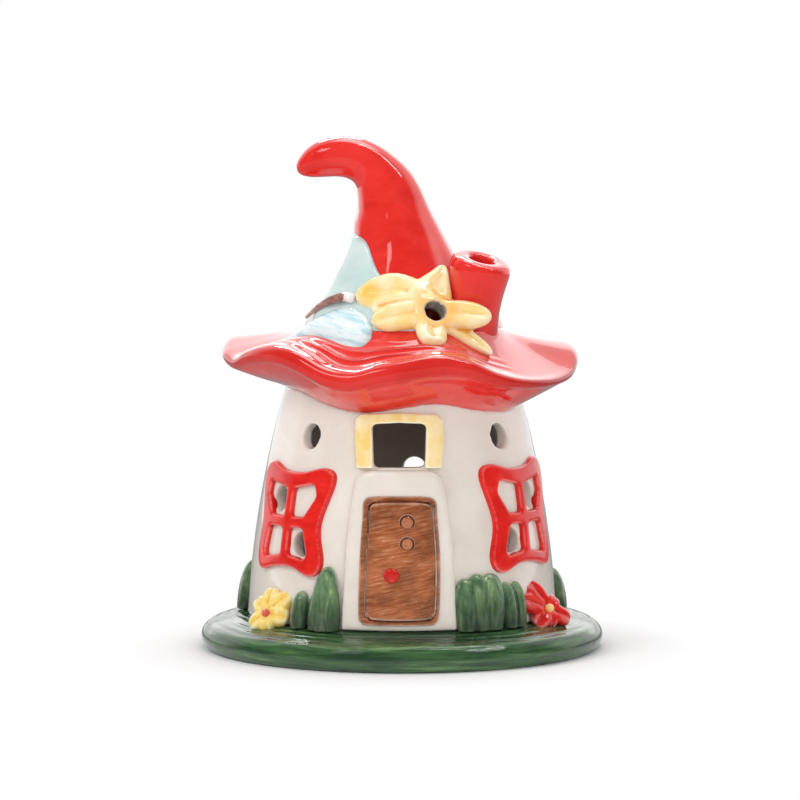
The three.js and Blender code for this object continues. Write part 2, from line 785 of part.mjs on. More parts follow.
// The flower's eye is a vent through the crown
const flowerOut = crownRadius(FLOWER_RISE) + PETAL_THICKNESS * 0.56;
const flowerPlace = facing(FLOWER_DIRECTION, flowerOut, CROWN_BASE + FLOWER_RISE, 28);
const eyeVent = punch(FLOWER_EYE_DIAMETER, flowerPlace, -CROWN_FOOT_RADIUS / 2, CROWN_FOOT_RADIUS * 0.7);

addPart("hat_brim", turned(brimProfile, WAVE_STEPS).subtract(flue), GLAZE.red);
addPart("hat_crown", crownOuter.subtract(crownHollow).subtract(flue).subtract(eyeVent), GLAZE.red);

// Band: a wide sash wound round the crown's foot, climbing to the left and low behind the flower

// Direction and rise of the band's upper edge above the crown's base
const BAND_EDGE = [
  [0, 12],
  [25, 10.5],
  [50, 7],
  [72, 3],
  [98, 3],
  [122, 7.5],
  [150, 14.5],
  [180, 19.5],
  [210, 22.6],
  [240, 25.6],
  [270, 27.6],
  [300, 27],
  [315, 25.2],
  [323, 23.2],
  [329, 20.8],
  [335, 18.2],
  [342, 15.4],
];

const bandReach = turned((direction) => {
  const edge = CROWN_BASE + waved(BAND_EDGE, direction, 1);
  return [
    new THREE.Vector2(0, HAT_BASE),
    new THREE.Vector2(BRIM_RADIUS, HAT_BASE),
    new THREE.Vector2(BRIM_RADIUS, CROWN_BASE + 9),
    new THREE.Vector2(CROWN_FOOT_RADIUS * 0.86, edge),
    new THREE.Vector2(CROWN_FOOT_RADIUS * 0.42, edge),
    new THREE.Vector2(0, BRIM_TOP),
  ];
}, WAVE_STEPS);
const chimneyCut = chimneyBody(JOIN);
const bandSolid = lofted(crownRings(JOIN + BAND_THICKNESS, 0, 8))
  .intersect(bandReach)
  .subtract(crownCut)
  .subtract(chimneyCut)
  .subtract(eyeVent)
  .subtract(flue);
addPart("hat_band", bandSolid, GLAZE.blue);
const bandCut = lofted(withSkirt(crownRings(2 * JOIN + BAND_THICKNESS, 0, 8), 2)).intersect(bandReach);

addPart(
  "chimney",
  chimneyBody(0).subtract(flue).subtract(crownCut).subtract(brimCut),
  GLAZE.red,
);

// Flower: a press-moulded bloom of seven petals round the vent

// Tip of each petal from the eye, to the right, to the back and up, and the petal's width
const PETALS = [
  [-24.5, 6, 3.5, 9.5],
  [-17.5, 6.6, 10.3, 12.5],
  [2.8, 7, 13.6, 11.5],
  [-19, -3.1, -2.4, 8.6],
  [-1, -10, -7.5, 9.4],
  [16.8, -6.3, -10.8, 7],
  [16.6, 2.5, 0, 8],
];

// Share of the length, of the width and of the thickness along a petal
const PETAL_FORM = [
  [0.06, 0.6, 0.6],
  [0.28, 0.9, 0.9],
  [0.52, 1, 1],
  [0.74, 0.95, 0.9],
  [0.9, 0.72, 0.75],
  [1, 0.3, 0.4],
];

function petal([right, back, up, width]) {
  const eye = new THREE.Vector3().setFromMatrixPosition(flowerPlace);
  const out = new THREE.Vector3().setFromMatrixColumn(flowerPlace, 2);
  const along = new THREE.Vector3(right, back, up);
  const side = new THREE.Vector3().crossVectors(out, along).normalize();
  const face = new THREE.Vector3().crossVectors(along, side).normalize();
  const rings = PETAL_FORM.map(([share, wide, thick]) => {
    const middle = eye
      .clone()
      .addScaledVector(along, share)
      .addScaledVector(face, 1.4 * Math.sin(Math.PI * share));
    const ring = [];
    for (let i = 0; i < 8; i += 1) {
      const angle = (i / 8) * 2 * Math.PI;
      const groove = i === 2 ? 0.5 : 1;
      ring.push(middle
        .clone()
        .addScaledVector(side, (width / 2) * wide * Math.cos(angle))
        .addScaledVector(face, (PETAL_THICKNESS / 2) * thick * Math.sin(angle) * groove));
    }
    return ring;
  });
  return lofted(rings);
}

const heart = new THREE.SphereGeometry(FLOWER_EYE_DIAMETER * 0.8, 16, 6);
heart.scale(1, 1, 0.5);
heart.applyMatrix4(flowerPlace);
const bloom = joined([solidOf(heart), ...PETALS.map(petal)]);
const hatCuts = [crownCut, bandCut, brimCut, chimneyCut];
const flower = hatCuts.reduce((left, cut) => left.subtract(cut), bloom).subtract(eyeVent);
addPart("flower", flower, GLAZE.petal);

// Clearance round the flower, for the trimmings that tuck in beside it
const flowerCut = joined([solidOf(heart.clone()), ...PETALS.map(([right, back, up, width]) => {
  const reach = Math.hypot(right, back, up);
  const longer = (reach + JOIN) / reach;
  return petal([right * longer, back * longer, up * longer, width + 2 * JOIN]);
})]);

// A place on the hat: above zero it climbs the crown, below zero it runs out over the brim
function onHat(direction, rise) {
  if (rise > 0) {
    const radius = crownRadius(rise) + JOIN + BAND_THICKNESS;
    return around(radius, direction, CROWN_BASE + rise);
  }
  const radius = CROWN_FOOT_RADIUS + JOIN + BAND_THICKNESS - rise;
  return around(radius, direction, brimTop(direction, radius));
}

// Bow: a flat loop of clay ribbon laid in the corner between crown and brim

// Direction, lower edge on the brim and upper edge on the crown
const BOW_SECTIONS = [
  [-16.5, -2.6, 1],
  [-20, -4.8, 3],
  [-28, -5.4, 5.6],
  [-39, -5.4, 6.2],
  [-51, -5, 4.6],
  [-63, -6.6, 1.8],
  [-72, -1.4, 0.3],
];

const bowRings = BOW_SECTIONS.map(([direction, low, high], i) => {
  const lower = onHat(direction, low);
  lower.z -= BOW_THICKNESS * 0.24;
  const upper = onHat(direction, high);
  const middle = lower.clone().lerp(upper, 0.5);
  const across = upper.clone().sub(lower).multiplyScalar(0.5);
  const along = around(1, direction + 90, 0);
  const out = new THREE.Vector3().crossVectors(along, across).normalize().negate();
  const end = i === 0 || i === BOW_SECTIONS.length - 1;
  const half = end ? BOW_THICKNESS * 0.3 : BOW_THICKNESS * 0.62;
  const ring = [];
  for (let j = 0; j < 10; j += 1) {
    const angle = (j / 10) * 2 * Math.PI;
    ring.push(middle
      .clone()
      .addScaledVector(across, Math.cos(angle))
      .addScaledVector(out, half * Math.sin(angle) + 0.8));
  }
  return ring;
});
const bow = [crownCut, bandCut, brimCut, flowerCut]
  .reduce((left, cut) => left.subtract(cut), lofted(bowRings));
addPart("ribbon_bow", bow, GLAZE.blue);

// Twig: a bent stick of clay that follows the bow's upper edge

const TWIG_PATH = [
  [-66, 2.2],
  [-57, 5.8],
  [-48, 8],
  [-39, 9],
  [-32, 8.6],
];
const twigPoints = TWIG_PATH.map(([direction, rise]) => {
  const place = onHat(direction, rise);
  return place.addScaledVector(around(1, direction, 0), TWIG_DIAMETER / 2);
});
const twigRound = new THREE.Shape();
twigRound.absarc(0, 0, TWIG_DIAMETER / 2, 0, 2 * Math.PI);
const twigGeometry = new THREE.ExtrudeGeometry(twigRound, {
  steps: 10,
  curveSegments: 5,
  bevelEnabled: false,
  extrudePath: new THREE.CatmullRomCurve3(twigPoints),
});
const bowCut = lofted(bowRings.map((ring) => {
  const middle = new THREE.Vector3();
  ring.forEach((point) => middle.addScaledVector(point, 1 / ring.length));
  return ring.map((point) => {
    const spoke = point.clone().sub(middle);
    return point.clone().addScaledVector(spoke.normalize(), JOIN);
  });
}));
const twig = [crownCut, bandCut, brimCut, bowCut, flowerCut]
  .reduce((left, cut) => left.subtract(cut), solidOf(twigGeometry));
addPart("twig", twig, GLAZE.twig);

// Leaves: blades of clay that stand on the plinth and lean on the wall

// A blade through rings of share of height, share of width and share of thickness
const BLADE_FORM = [
  [0, 0.86, 1],
  [0.3, 1, 1],
  [0.6, 0.94, 0.9],
  [0.82, 0.72, 0.72],
  [0.95, 0.4, 0.5],
  [1, 0.12, 0.25],
];

function blade([direction, width, height, slant]) {
  const rings = BLADE_FORM.map(([share, wide, thick]) => {
    const level = FLOOR_HEIGHT + JOIN + share * height;
    const turn = direction + SIDE_TURN + slant * share;
    const out = wallRadius(level) + JOIN + LEAF_THICKNESS * 0.35 * thick;
    const middle = around(out, turn, level);
    const right = around(1, turn + 90, 0);
    const forward = around(1, turn, 0);
    const ring = [];
    for (let i = 0; i < 8; i += 1) {
      const angle = (i / 8) * 2 * Math.PI;
      ring.push(middle
        .clone()
        .addScaledVector(right, (width / 2) * wide * Math.cos(angle))
        .addScaledVector(forward, -LEAF_THICKNESS * 0.65 * thick * Math.sin(angle)));
    }
    return ring;
  });
  return lofted(rings);
}

const surroundCut = pushed(
  surroundOutline(SURROUND_WIDTH + 2 * JOIN, ATTIC_SILL),
  0,
  REACH,
  front.clone().multiply(new THREE.Matrix4().makeTranslation(0, FLOOR_HEIGHT, 0)),
).intersect(wallSkin(-1, surroundFace + JOIN));

function planted(solids, others = []) {
  const cuts = [wallCut, plinthCut, surroundCut, ...others];
  return cuts.reduce((left, cut) => left.subtract(cut), joined(solids));
}

// Direction, width, height and slant round the wall of each blade
const LEFT_LEAF = [
  [-34, 4.6, 14.5, -1],
  [-30.5, 4.8, 17.3, -1.5],
  [-27.1, 4.6, 12, 0],
];
const LEFT_SPROUT = [[-41.3, 4.4, 9.8, -0.5]];
const RIGHT_BUSH = [
  [21.8, 4.4, 14, 0],
  [26.2, 4.8, 15.5, 0],
  [31, 4.6, 15.4, 0.5],
];
const RIGHT_CLUMP = [
  [38.5, 4.6, 12.6, 0],
  [43.4, 4.8, 13, 1],
];
const FAR_LEFT_LEAF = [[-102, 10, 13.6, -2]];
const FAR_RIGHT_LEAF = [[98, 10, 11.5, 2]];
addPart("left_leaf", planted(LEFT_LEAF.map(blade)), GLAZE.green);
addPart("left_sprout", planted(LEFT_SPROUT.map(blade)), GLAZE.green);
addPart("right_bush", planted(RIGHT_BUSH.map(blade)), GLAZE.green);
addPart("right_clump", planted(RIGHT_CLUMP.map(blade)), GLAZE.green);
addPart("far_left_leaf", planted(FAR_LEFT_LEAF.map(blade)), GLAZE.green);
addPart("far_right_leaf", planted(FAR_RIGHT_LEAF.map(blade)), GLAZE.green);

// Ground flowers: sprigged blooms of five lobes that lean in the corner of wall and plinth

function groundBloom(direction, radius, tilt, spin) {
  const turn = direction + SIDE_TURN;
  const place = facing(turn, WALL_FOOT_RADIUS + 2.6, FLOOR_HEIGHT + radius * 0.42, tilt);
  const rings = [[0.84, -0.5], [1, -0.1], [0.97, 0.28], [0.74, 0.5]].map(([size, level]) => {
    const ring = [];
    for (let i = 0; i < 25; i += 1) {
      const angle = (i / 25) * 2 * Math.PI;
      const lobe = 0.82 + 0.18 * Math.cos(5 * angle + spin);
      const reach = radius * size * lobe;
      ring.push(new THREE.Vector3(
        reach * Math.cos(angle),
        reach * Math.sin(angle),
        level * BLOOM_THICKNESS,
      ).applyMatrix4(place));
    }
    return ring;
  });
  const eye = new THREE.SphereGeometry(radius * 0.3, 10, 6);
  eye.scale(1, 1, 0.7);
  eye.translate(0, 0, BLOOM_THICKNESS / 2 + 0.2);
  eye.applyMatrix4(place);
  const top = new THREE.BoxGeometry(radius * 2, radius * 2, BLOOM_THICKNESS);
  top.translate(0, 0, JOIN);
  top.applyMatrix4(place);
  return { petals: lofted(rings), eye: solidOf(eye).subtract(solidOf(top)) };
}

const yellow = groundBloom(-54, BLOOM_RADIUS * 0.84, 38, 0.4);
const red = groundBloom(58, BLOOM_RADIUS * 0.92, 34, 1.2);
addPart("yellow_ground_flower", planted([yellow.petals]), GLAZE.petal);
addPart("yellow_ground_flower_eye", planted([yellow.eye]), GLAZE.red);
addPart("red_ground_flower", planted([red.petals]), GLAZE.red);
addPart("red_ground_flower_eye", planted([red.eye]), GLAZE.orange);

// Tealight: it slides out through the doorway at the back

const tealight = new THREE.Group();
tealight.position.set(0, 0, FLOOR_HEIGHT + JOIN);
house.add(tealight);

function lathed(rows, sides) {
  const profile = rows.map(([radius, height]) => new THREE.Vector2(radius, height));
  return turned(() => profile, sides);
}

const cupRadius = TEALIGHT_DIAMETER / 2;
const waxRadius = cupRadius - TEALIGHT_SKIN - JOIN;
const tabRadius = waxRadius * 0.36;
const tabThickness = 0.5;
const waxFoot = TEALIGHT_SKIN + JOIN;
addPart("tealight_cup", lathed([
  [0, 0],
  [cupRadius - 1, 0],
  [cupRadius, 1],
  [cupRadius, TEALIGHT_HEIGHT],
  [cupRadius - TEALIGHT_SKIN, TEALIGHT_HEIGHT],
  [cupRadius - TEALIGHT_SKIN, TEALIGHT_SKIN],
  [0, TEALIGHT_SKIN],
], 28), GLAZE.aluminium, tealight);
addPart("tealight_wax", lathed([
  [tabRadius + JOIN, waxFoot],
  [waxRadius, waxFoot],
  [waxRadius, WAX_LEVEL],
  [WICK_DIAMETER / 2 + JOIN, WAX_LEVEL - 0.6],
  [WICK_DIAMETER / 2 + JOIN, waxFoot + tabThickness + JOIN],
  [tabRadius + JOIN, waxFoot + tabThickness + JOIN],
  [tabRadius + JOIN, waxFoot],
], 24), GLAZE.wax, tealight);
addPart("tealight_wick_tab", lathed([
  [0, waxFoot],
  [tabRadius, waxFoot],
  [tabRadius, waxFoot + tabThickness],
  [0, waxFoot + tabThickness],
], 20), GLAZE.aluminium, tealight);
addPart("tealight_wick", lathed([
  [0, waxFoot + tabThickness + JOIN],
  [WICK_DIAMETER / 2, waxFoot + tabThickness + JOIN],
  [WICK_DIAMETER / 2, TEALIGHT_HEIGHT + 0.5],
  [WICK_DIAMETER / 4, TEALIGHT_HEIGHT + 1.5],
  [0, TEALIGHT_HEIGHT + 1.5],
], 10), GLAZE.wick, tealight);

export default house;
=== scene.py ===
"""Ceramic house luminary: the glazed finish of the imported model.

The frame is the model's own: +Z up, the door facing -Y. A direction round the house is given in
degrees from the door, growing towards +X. Pieces are shaped in millimetres and brought to metres
when they are finished.
"""
from math import asin, atan2, cos, degrees, exp, hypot, pi, radians, sin, sqrt

import bmesh
import bpy
from mathutils import Matrix, Vector, noise


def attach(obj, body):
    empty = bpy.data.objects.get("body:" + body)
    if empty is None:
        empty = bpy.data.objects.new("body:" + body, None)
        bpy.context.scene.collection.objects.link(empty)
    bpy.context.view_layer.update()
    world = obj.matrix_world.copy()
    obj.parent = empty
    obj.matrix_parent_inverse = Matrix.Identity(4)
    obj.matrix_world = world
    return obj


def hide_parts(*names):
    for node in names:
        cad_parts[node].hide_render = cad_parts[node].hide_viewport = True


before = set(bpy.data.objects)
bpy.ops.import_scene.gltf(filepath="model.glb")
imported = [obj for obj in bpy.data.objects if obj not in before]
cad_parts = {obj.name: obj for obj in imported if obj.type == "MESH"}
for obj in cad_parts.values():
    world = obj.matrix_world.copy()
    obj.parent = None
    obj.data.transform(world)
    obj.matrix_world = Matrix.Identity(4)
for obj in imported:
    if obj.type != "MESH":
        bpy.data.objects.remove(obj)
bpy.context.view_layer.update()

# Studio
# The piece stands on a white table under an even white sky, between soft boxes. The dark room
# behind the camera is what the glaze mirrors where it faces the lens.

# The lens is 1 m in front of the axis and 141 mm above the table, pitched down by 3.8 degrees
camera = bpy.data.objects.new("camera", bpy.data.cameras.new("camera"))
camera.data.sensor_width = 36
camera.data.lens = 150.26
camera.location = (-0.0006, -1, 0.141)
camera.rotation_euler = (radians(86.17), 0, 0)
bpy.context.scene.collection.objects.link(camera)
bpy.context.scene.camera = camera
bpy.context.scene.view_settings.view_transform = "Standard"


def linear(code):
    """An sRGB hex colour as linear red, green, blue and alpha."""
    parts = [int(code[i:i + 2], 16) / 255 for i in (1, 3, 5)]
    return [p / 12.92 if p <= 0.04045 else ((p + 0.055) / 1.055) ** 2.4 for p in parts] + [1]


def feed(node, inputs):
    """Gives each input a value, or a link from a socket or from a node's first output.

    Inputs 1 to 4 of a Map Range node are From Min, From Max, To Min and To Max. Inputs 0, 6 and
    7 of a Mix node are the factor and the two colours, and its output 2 is their mixture.
    """
    for name, value in inputs.items():
        if isinstance(value, bpy.types.Node):
            value = value.outputs[0]
        if isinstance(value, bpy.types.NodeSocket):
            node.id_data.links.new(value, node.inputs[name])
        else:
            node.inputs[name].default_value = value


def add(tree, kind, inputs=None, **settings):
    """Adds a shader node with its settings and inputs."""
    node = tree.nodes.new("ShaderNode" + kind)
    for name, value in settings.items():
        setattr(node, name, value)
    feed(node, inputs or {})
    return node


def meshed(bm, name):
    """The mesh of a shape that is done."""
    mesh = bpy.data.meshes.new(name)
    bm.to_mesh(mesh)
    bm.free()
    return mesh


def show(bm, name, material=None):
    """Puts a shape into the scene as an object at the origin."""
    thing = bpy.data.objects.new(name, meshed(bm, name))
    bpy.context.scene.collection.objects.link(thing)
    if material:
        thing.data.materials.append(material)
    return thing


def emptied(thing):
    """The node tree of a world or a material, with nothing in it yet."""
    thing.use_nodes = True
    thing.node_tree.nodes.clear()
    return thing.node_tree


WHITE, SKY_LIGHT = (1, 1, 1, 1), (0.6, 0.6, 0.6, 1)
world = bpy.data.worlds.new("white_sky")
bpy.context.scene.world = world
tree = emptied(world)
ray = add(tree, "LightPath")
mirrored = add(tree, "Math", {
    0: ray.outputs["Is Glossy Ray"], 1: ray.outputs["Is Transmission Ray"],
}, operation="MAXIMUM")
seen = add(tree, "Math", {0: ray.outputs["Is Camera Ray"], 1: mirrored}, operation="MAXIMUM")
tone = add(tree, "Mix", {0: seen, 6: SKY_LIGHT, 7: WHITE}, data_type="RGBA")
glow = add(tree, "Background", {"Color": tone.outputs[2], "Strength": 1})
add(tree, "OutputWorld", {"Surface": glow})

# White laminate table: matt, so it keeps the shadow near the foot, which fades out between two
# distances from the middle. Beyond them it is pure white, and the glaze mirrors it dimmer.
FADE_STARTS, FADE_ENDS, TABLE_MIRRORED = 0.061, 0.088, 0.3
laminate = bpy.data.materials.new("white_laminate_table")
tree = emptied(laminate)
spot = add(tree, "TexCoord").outputs["Object"]
away = add(tree, "VectorMath", {0: spot}, operation="LENGTH")
far = add(tree, "MapRange", {"Value": away.outputs["Value"], 1: FADE_STARTS, 2: FADE_ENDS})
ray = add(tree, "LightPath")
looked_at = add(tree, "Math", {
    0: ray.outputs["Is Camera Ray"], 1: ray.outputs["Is Glossy Ray"],
}, operation="MAXIMUM")
veil = add(tree, "Math", {0: far, 1: looked_at}, operation="MULTIPLY")
glare = add(tree, "MapRange", {"Value": ray.outputs["Is Camera Ray"], 3: TABLE_MIRRORED, 4: 1})
matt = add(tree, "BsdfDiffuse", {"Color": linear("#f6f6f6")})
white = add(tree, "Emission", {"Color": WHITE, "Strength": glare})
both = add(tree, "MixShader", {0: veil, 1: matt, 2: white})
add(tree, "OutputMaterial", {"Surface": both})
bm = bmesh.new()
bmesh.ops.create_circle(bm, cap_ends=True, segments=96, radius=1.6)
show(bm, "table", laminate)

# Dark room: walls and a ceiling in front of the piece, which only the glaze mirrors. They
# lighten towards the back, along an axis that climbs a little, and end behind the piece.
ROOM_AXIS, ROOM_LIGHTENS, ROOM_ENDS = (0.06, 1, 0.22), 0.05, 0.72
unlit = bpy.data.materials.new("unlit_studio_walls")
tree = emptied(unlit)
spot = add(tree, "TexCoord").outputs["Object"]
depth = add(tree, "VectorMath", {0: spot, 1: ROOM_AXIS}, operation="DOT_PRODUCT")
near = add(tree, "MapRange", {
    "Value": depth.outputs["Value"], 1: ROOM_LIGHTENS, 2: ROOM_ENDS,
}, interpolation_type="SMOOTHSTEP")
gloom = add(tree, "Mix", {0: near, 6: linear("#5c5653"), 7: WHITE}, data_type="RGBA")
dim = add(tree, "Emission", {"Color": gloom.outputs[2], "Strength": 1})
add(tree, "OutputMaterial", {"Surface": dim})
bm = bmesh.new()
bmesh.ops.create_uvsphere(bm, u_segments=64, v_segments=32, radius=1.5)
for cut, way in (((0, 0, 0.02), (0, 0, -1)), ((0, ROOM_ENDS, 0), ROOM_AXIS)):
    bmesh.ops.bisect_plane(bm, geom=bm.verts[:] + bm.edges[:] + bm.faces[:], plane_co=cut,
                           plane_no=way, clear_outer=True)
room = show(bm, "dark_room", unlit)
room.visible_camera = room.visible_diffuse = False
room.visible_shadow = room.visible_transmission = False

# Lamps, aimed at the middle of the house: name, place, width, height and power. The first two
# are too broad to be mirrored as patches, and the strips are seen only as highlights.
LAMP_AIM = Vector((0, 0, 0.07))
for name, where, width, height, power in [
    ("soft_box_left", (-0.68, -0.42, 0.75), 0.46, 0.4, 3.4),
    ("soft_box_front", (0.3, -1, 0.42), 0.5, 0.5, 2.8),
    ("soft_box_top", (0.1, 0.15, 0.95), 0.5, 0.4, 1.8),
    ("soft_box_back", (0, 1, 0.55), 1.6, 0.7, 2.2),
    ("strip_back", (-0.1, 0.7, 0.95), 0.6, 0.16, 3.4),
    ("strip_left", (-0.5, -0.62, 0.92), 0.3, 0.26, 0.7),
    ("strip_right", (0.48, -0.09, 1.06), 0.05, 0.6, 1.3),
]:
    lamp = bpy.data.lights.new(name, "AREA")
    lamp.shape = "RECTANGLE"
    lamp.size = width
    lamp.size_y = height
    lamp.energy = power
    box = bpy.data.objects.new(name, lamp)
    box.location = where
    box.visible_glossy = name not in ("soft_box_front", "soft_box_left")
    box.visible_diffuse = "strip" not in name
    box.rotation_euler = (Vector(where) - LAMP_AIM).to_track_quat("Z", "Y").to_euler()
    bpy.context.scene.collection.objects.link(box)

# Plinth
# A thick disc of cast earthenware with a rounded edge, which carries everything else. Its green
# underglaze is laid on in broad strokes under a clear glaze.

PLINTH_PROFILE = [
    (0, 4.5), (50.5, 4.5), (52.4, 3.6), (53.6, 0.9), (54.1, 0.1), (54.8, 0), (57.6, 0),
    (58.4, 0.15), (59.2, 0.8), (59.9, 1.9), (60.35, 3.1), (60.4, 4.2), (60.15, 5.3), (59.6, 6.3),
    (58.6, 7.3), (57.2, 8.05), (55, 8.75), (52, 9.5), (48.8, 10.2), (45, 10.4), (0, 10.4),
]
# The middle of its top, and where the pieces on it stand, 0.3 mm above that
PLINTH_TOP, ON_PLINTH = 10.4, 10.7


def around(radius, direction, height):
    """A point at a distance from the axis, facing a direction, at a height."""
    angle = radians(direction)
    return Vector((radius * sin(angle), -radius * cos(angle), height))


def direction_of(point):
    return degrees(atan2(point.x, -point.y))


def turned(profile, steps=96, closed=False):
    """A body spun from its half section, in which "row" keeps each point's number."""
    bm = bmesh.new()
    row = bm.verts.layers.int.new("row")
    points = [bm.verts.new((0, -radius, height)) for radius, height in profile]
    for number, point in enumerate(points):
        point[row] = number
    ends = points[1:] + points[:1] if closed else points[1:]
    edges = [bm.edges.new(pair) for pair in zip(points, ends)]
    bmesh.ops.spin(bm, geom=points + edges, cent=(0, 0, 0), axis=(0, 0, 1), angle=2 * pi,
                   steps=steps, use_merge=True)
    bmesh.ops.remove_doubles(bm, verts=bm.verts, dist=1e-4)
    bmesh.ops.recalc_face_normals(bm, faces=bm.faces)
    return bm


def bends(bm):
    """Marks how hollow the clay is at each point, per millimetre: below zero it stands proud."""
    hollow = bm.verts.layers.float.new("hollow")
    bm.normal_update()
    near = {point: [edge.other_vert(point) for edge in point.link_edges] for point in bm.verts}
    for point, others in near.items():
        ways = [other.co - point.co for other in others]
        point[hollow] = sum(point.normal.dot(way) / way.length_squared for way in ways) / len(ways)
    for _ in range(3):
        level = [(point[hollow] + sum(other[hollow] for other in others)) / (len(others) + 1)
                 for point, others in near.items()]
        for point, value in zip(near, level):
            point[hollow] = value


def finish(bm, node, material, levels=0, second=None, prefix="glazed_", body="house"):
    """Brings a shape to metres as a smooth piece that stands for its node of the model. A second
    material is for the faces that are marked with 1."""
    bends(bm)
    bmesh.ops.scale(bm, vec=(0.001, 0.001, 0.001), verts=bm.verts)
    for face in bm.faces:
        face.smooth = True
    piece = show(bm, prefix + node, material)
    if second:
        piece.data.materials.append(second)
    if levels:
        rounding = piece.modifiers.new("rounding", "SUBSURF")
        rounding.levels = rounding.render_levels = levels
    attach(piece, body)
    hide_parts(node)


def opened(name, values):
    """A new material, its node tree and its shader, whose inputs are given values."""
    material = bpy.data.materials.new(name)
    material.use_nodes = True
    shader = material.node_tree.nodes["Principled BSDF"]
    feed(shader, values)
    return material, material.node_tree, shader


def lay(material, share, tone, blend="MIX"):
    """Lays one more tone over the colour that a glaze has so far."""
    shader = material.node_tree.nodes["Principled BSDF"]
    skin = shader.inputs["Base Color"]
    under = skin.links[0].from_socket if skin.is_linked else skin.default_value
    both = add(material.node_tree, "Mix", {0: share, 6: under, 7: tone},
               data_type="RGBA", blend_type=blend)
    feed(shader, {"Base Color": both.outputs[2]})


def glaze(name, deep, body, light, stroke, hollow, edge, lean=0, gloss=0.07, pool=0.3, coat=0.4):
    """Clear glaze over underglaze: three tones in strokes of a size in millimetres, one more in
    the hollows, partly where the glaze gathers and partly painted shade, and another on the edges,
    partly where it runs thin and partly a painted highlight."""
    material, tree, shader = opened(name, {
        "IOR": 1.5, "Coat Weight": coat, "Base Color": linear(deep),
    })
    spot = add(tree, "TexCoord").outputs["Object"]
    leaning = add(tree, "VectorRotate", {
        "Vector": spot, "Angle": radians(lean),
    }, rotation_type="Y_AXIS")
    turn = add(tree, "Mapping", {"Vector": leaning, "Scale": [1000 / size for size in stroke]})
    brush = add(tree, "TexNoise", {
        "Vector": turn, "Scale": 1, "Detail": 5, "Roughness": 0.6, "Distortion": 0.4,
    })
    bend = add(tree, "Attribute", attribute_name="hollow")
    # The last two tones follow the clay's bends: darker in its hollows, partly as painted shade,
    # and paler on its raised edges, partly as a painted highlight
    for cause, start, full, most, ease, code in (
        (brush, 0.36, 0.56, 1, "SMOOTHSTEP", body),
        (brush, 0.54, 0.72, 1, "SMOOTHSTEP", light),
        (bend, 0.03, 0.2, 0.9, "LINEAR", hollow),
        (bend, -0.16, -0.42, 0.9, "LINEAR", edge),
    ):
        share = add(tree, "MapRange", {
            "Value": cause.outputs["Fac"], 1: start, 2: full, 4: most,
        }, interpolation_type=ease)
        lay(material, share, linear(code))
    # Glaze settles in shallow pools about 7 mm wide and shows a fine ripple over the strokes
    pools = add(tree, "TexNoise", {
        "Vector": spot, "Scale": 1000 / 7, "Detail": 1.5, "Roughness": 0.4,
    })
    film = add(tree, "Math", {
        0: pools.outputs["Fac"], 1: pool, 2: brush.outputs["Fac"],
    }, operation="MULTIPLY_ADD")
    bump = add(tree, "Bump", {"Height": film, "Strength": 0.22, "Distance": 0.0006})
    worn = add(tree, "MapRange", {
        "Value": pools.outputs["Fac"], 1: 0.3, 2: 0.8, 3: gloss, 4: gloss + 0.07,
    })
    feed(shader, {"Normal": bump, "Roughness": worn})
    return material


# Above the foot the cast edge isn't quite true: it rises and falls by up to 0.35 mm
bm = turned(PLINTH_PROFILE, 120)
for point in bm.verts:
    if hypot(point.co.x, point.co.y) > 58.5:
        drift = noise.noise(Vector((point.co.x, point.co.y, 3)) / 14)
        point.co.z += 0.35 * drift * (point.co.z > 1)
# Darker in its hollows and paler on its rounded edge, partly as painted shade and highlight
green_plinth = glaze("brushed_green_glaze_plinth", "#25402a", "#3c5f3a", "#648a58",
                     (22, 22, 1.8), "#22361f", "#7f9c70", pool=0.8)
# Outside the house the clear glaze has run outwards and stands in ripples 2.6 mm apart, which is
# what rings of a scale of 121 give
tree = green_plinth.node_tree
spot = add(tree, "TexCoord").outputs["Object"]
runs = add(tree, "TexWave", {
    "Vector": spot, "Scale": 121, "Distortion": 5, "Detail": 2, "Detail Scale": 0.35,
}, wave_type="RINGS", rings_direction="Z")
reach = add(tree, "VectorMath", {0: spot}, operation="LENGTH")
outside = add(tree, "MapRange", {"Value": reach.outputs["Value"], 1: 0.045, 2: 0.049})
height = add(tree, "Math", {0: runs.outputs["Fac"], 1: outside}, operation="MULTIPLY")
shader = tree.nodes["Principled BSDF"]
strokes = shader.inputs["Normal"].links[0].from_socket
ripple = add(tree, "Bump", {"Height": height, "Normal": strokes, "Distance": 0.0002})
feed(shader, {"Normal": ripple})
finish(bm, "base_plinth", green_plinth, levels=1)

# Wall
# A slip-cast shell that leans in to the eaves. The vents, the window punches, the attic window
# and the rear doorway are cut out of the leather-hard clay and sponged round.

WALL_THICKNESS, WALL_RISE, EAVES = 4.5, 65, 75.4
# The height of the seam under the hat, above or below the eaves, in each direction
SEAM_WAVE = [
    (0, -1.2), (14, 0), (25, -0.7), (36, -2.1), (57, -3), (75, -1), (95, 0.3), (125, 1),
    (165, -0.8), (188, 0), (208, -0.5), (240, 2), (284, 3.4), (305, 2.4), (322, -0.4), (341, -2.5),
]


def waved(rows, direction, column=1):
    """Reads a column of a table of directions as a smooth closed curve through its rows."""
    turn = direction % 360
    after = next((i for i, row in enumerate(rows) if row[0] > turn), len(rows))
    (d0, v0), (d1, v1), (d2, v2), (d3, v3) = [
        (rows[i % len(rows)][0] + 360 * (i // len(rows)), rows[i % len(rows)][column])
        for i in range(after - 2, after + 2)
    ]
    share = (turn - d1) / (d2 - d1)
    leave = (v2 - v0) / (d2 - d0) * (d2 - d1)
    arrive = (v3 - v1) / (d3 - d1) * (d2 - d1)
    ease = share * share * (3 - 2 * share)
    return (v1 + (v2 - v1) * ease + leave * share * (1 - share) ** 2
            - arrive * share * share * (1 - share))


def wall_radius(height):
    share = (height - PLINTH_TOP) / WALL_RISE
    return 46.5 - 10.7 * (0.38 * share + 0.62 * share * share)


def seam_at(direction):
    return EAVES + waved(SEAM_WAVE, direction)


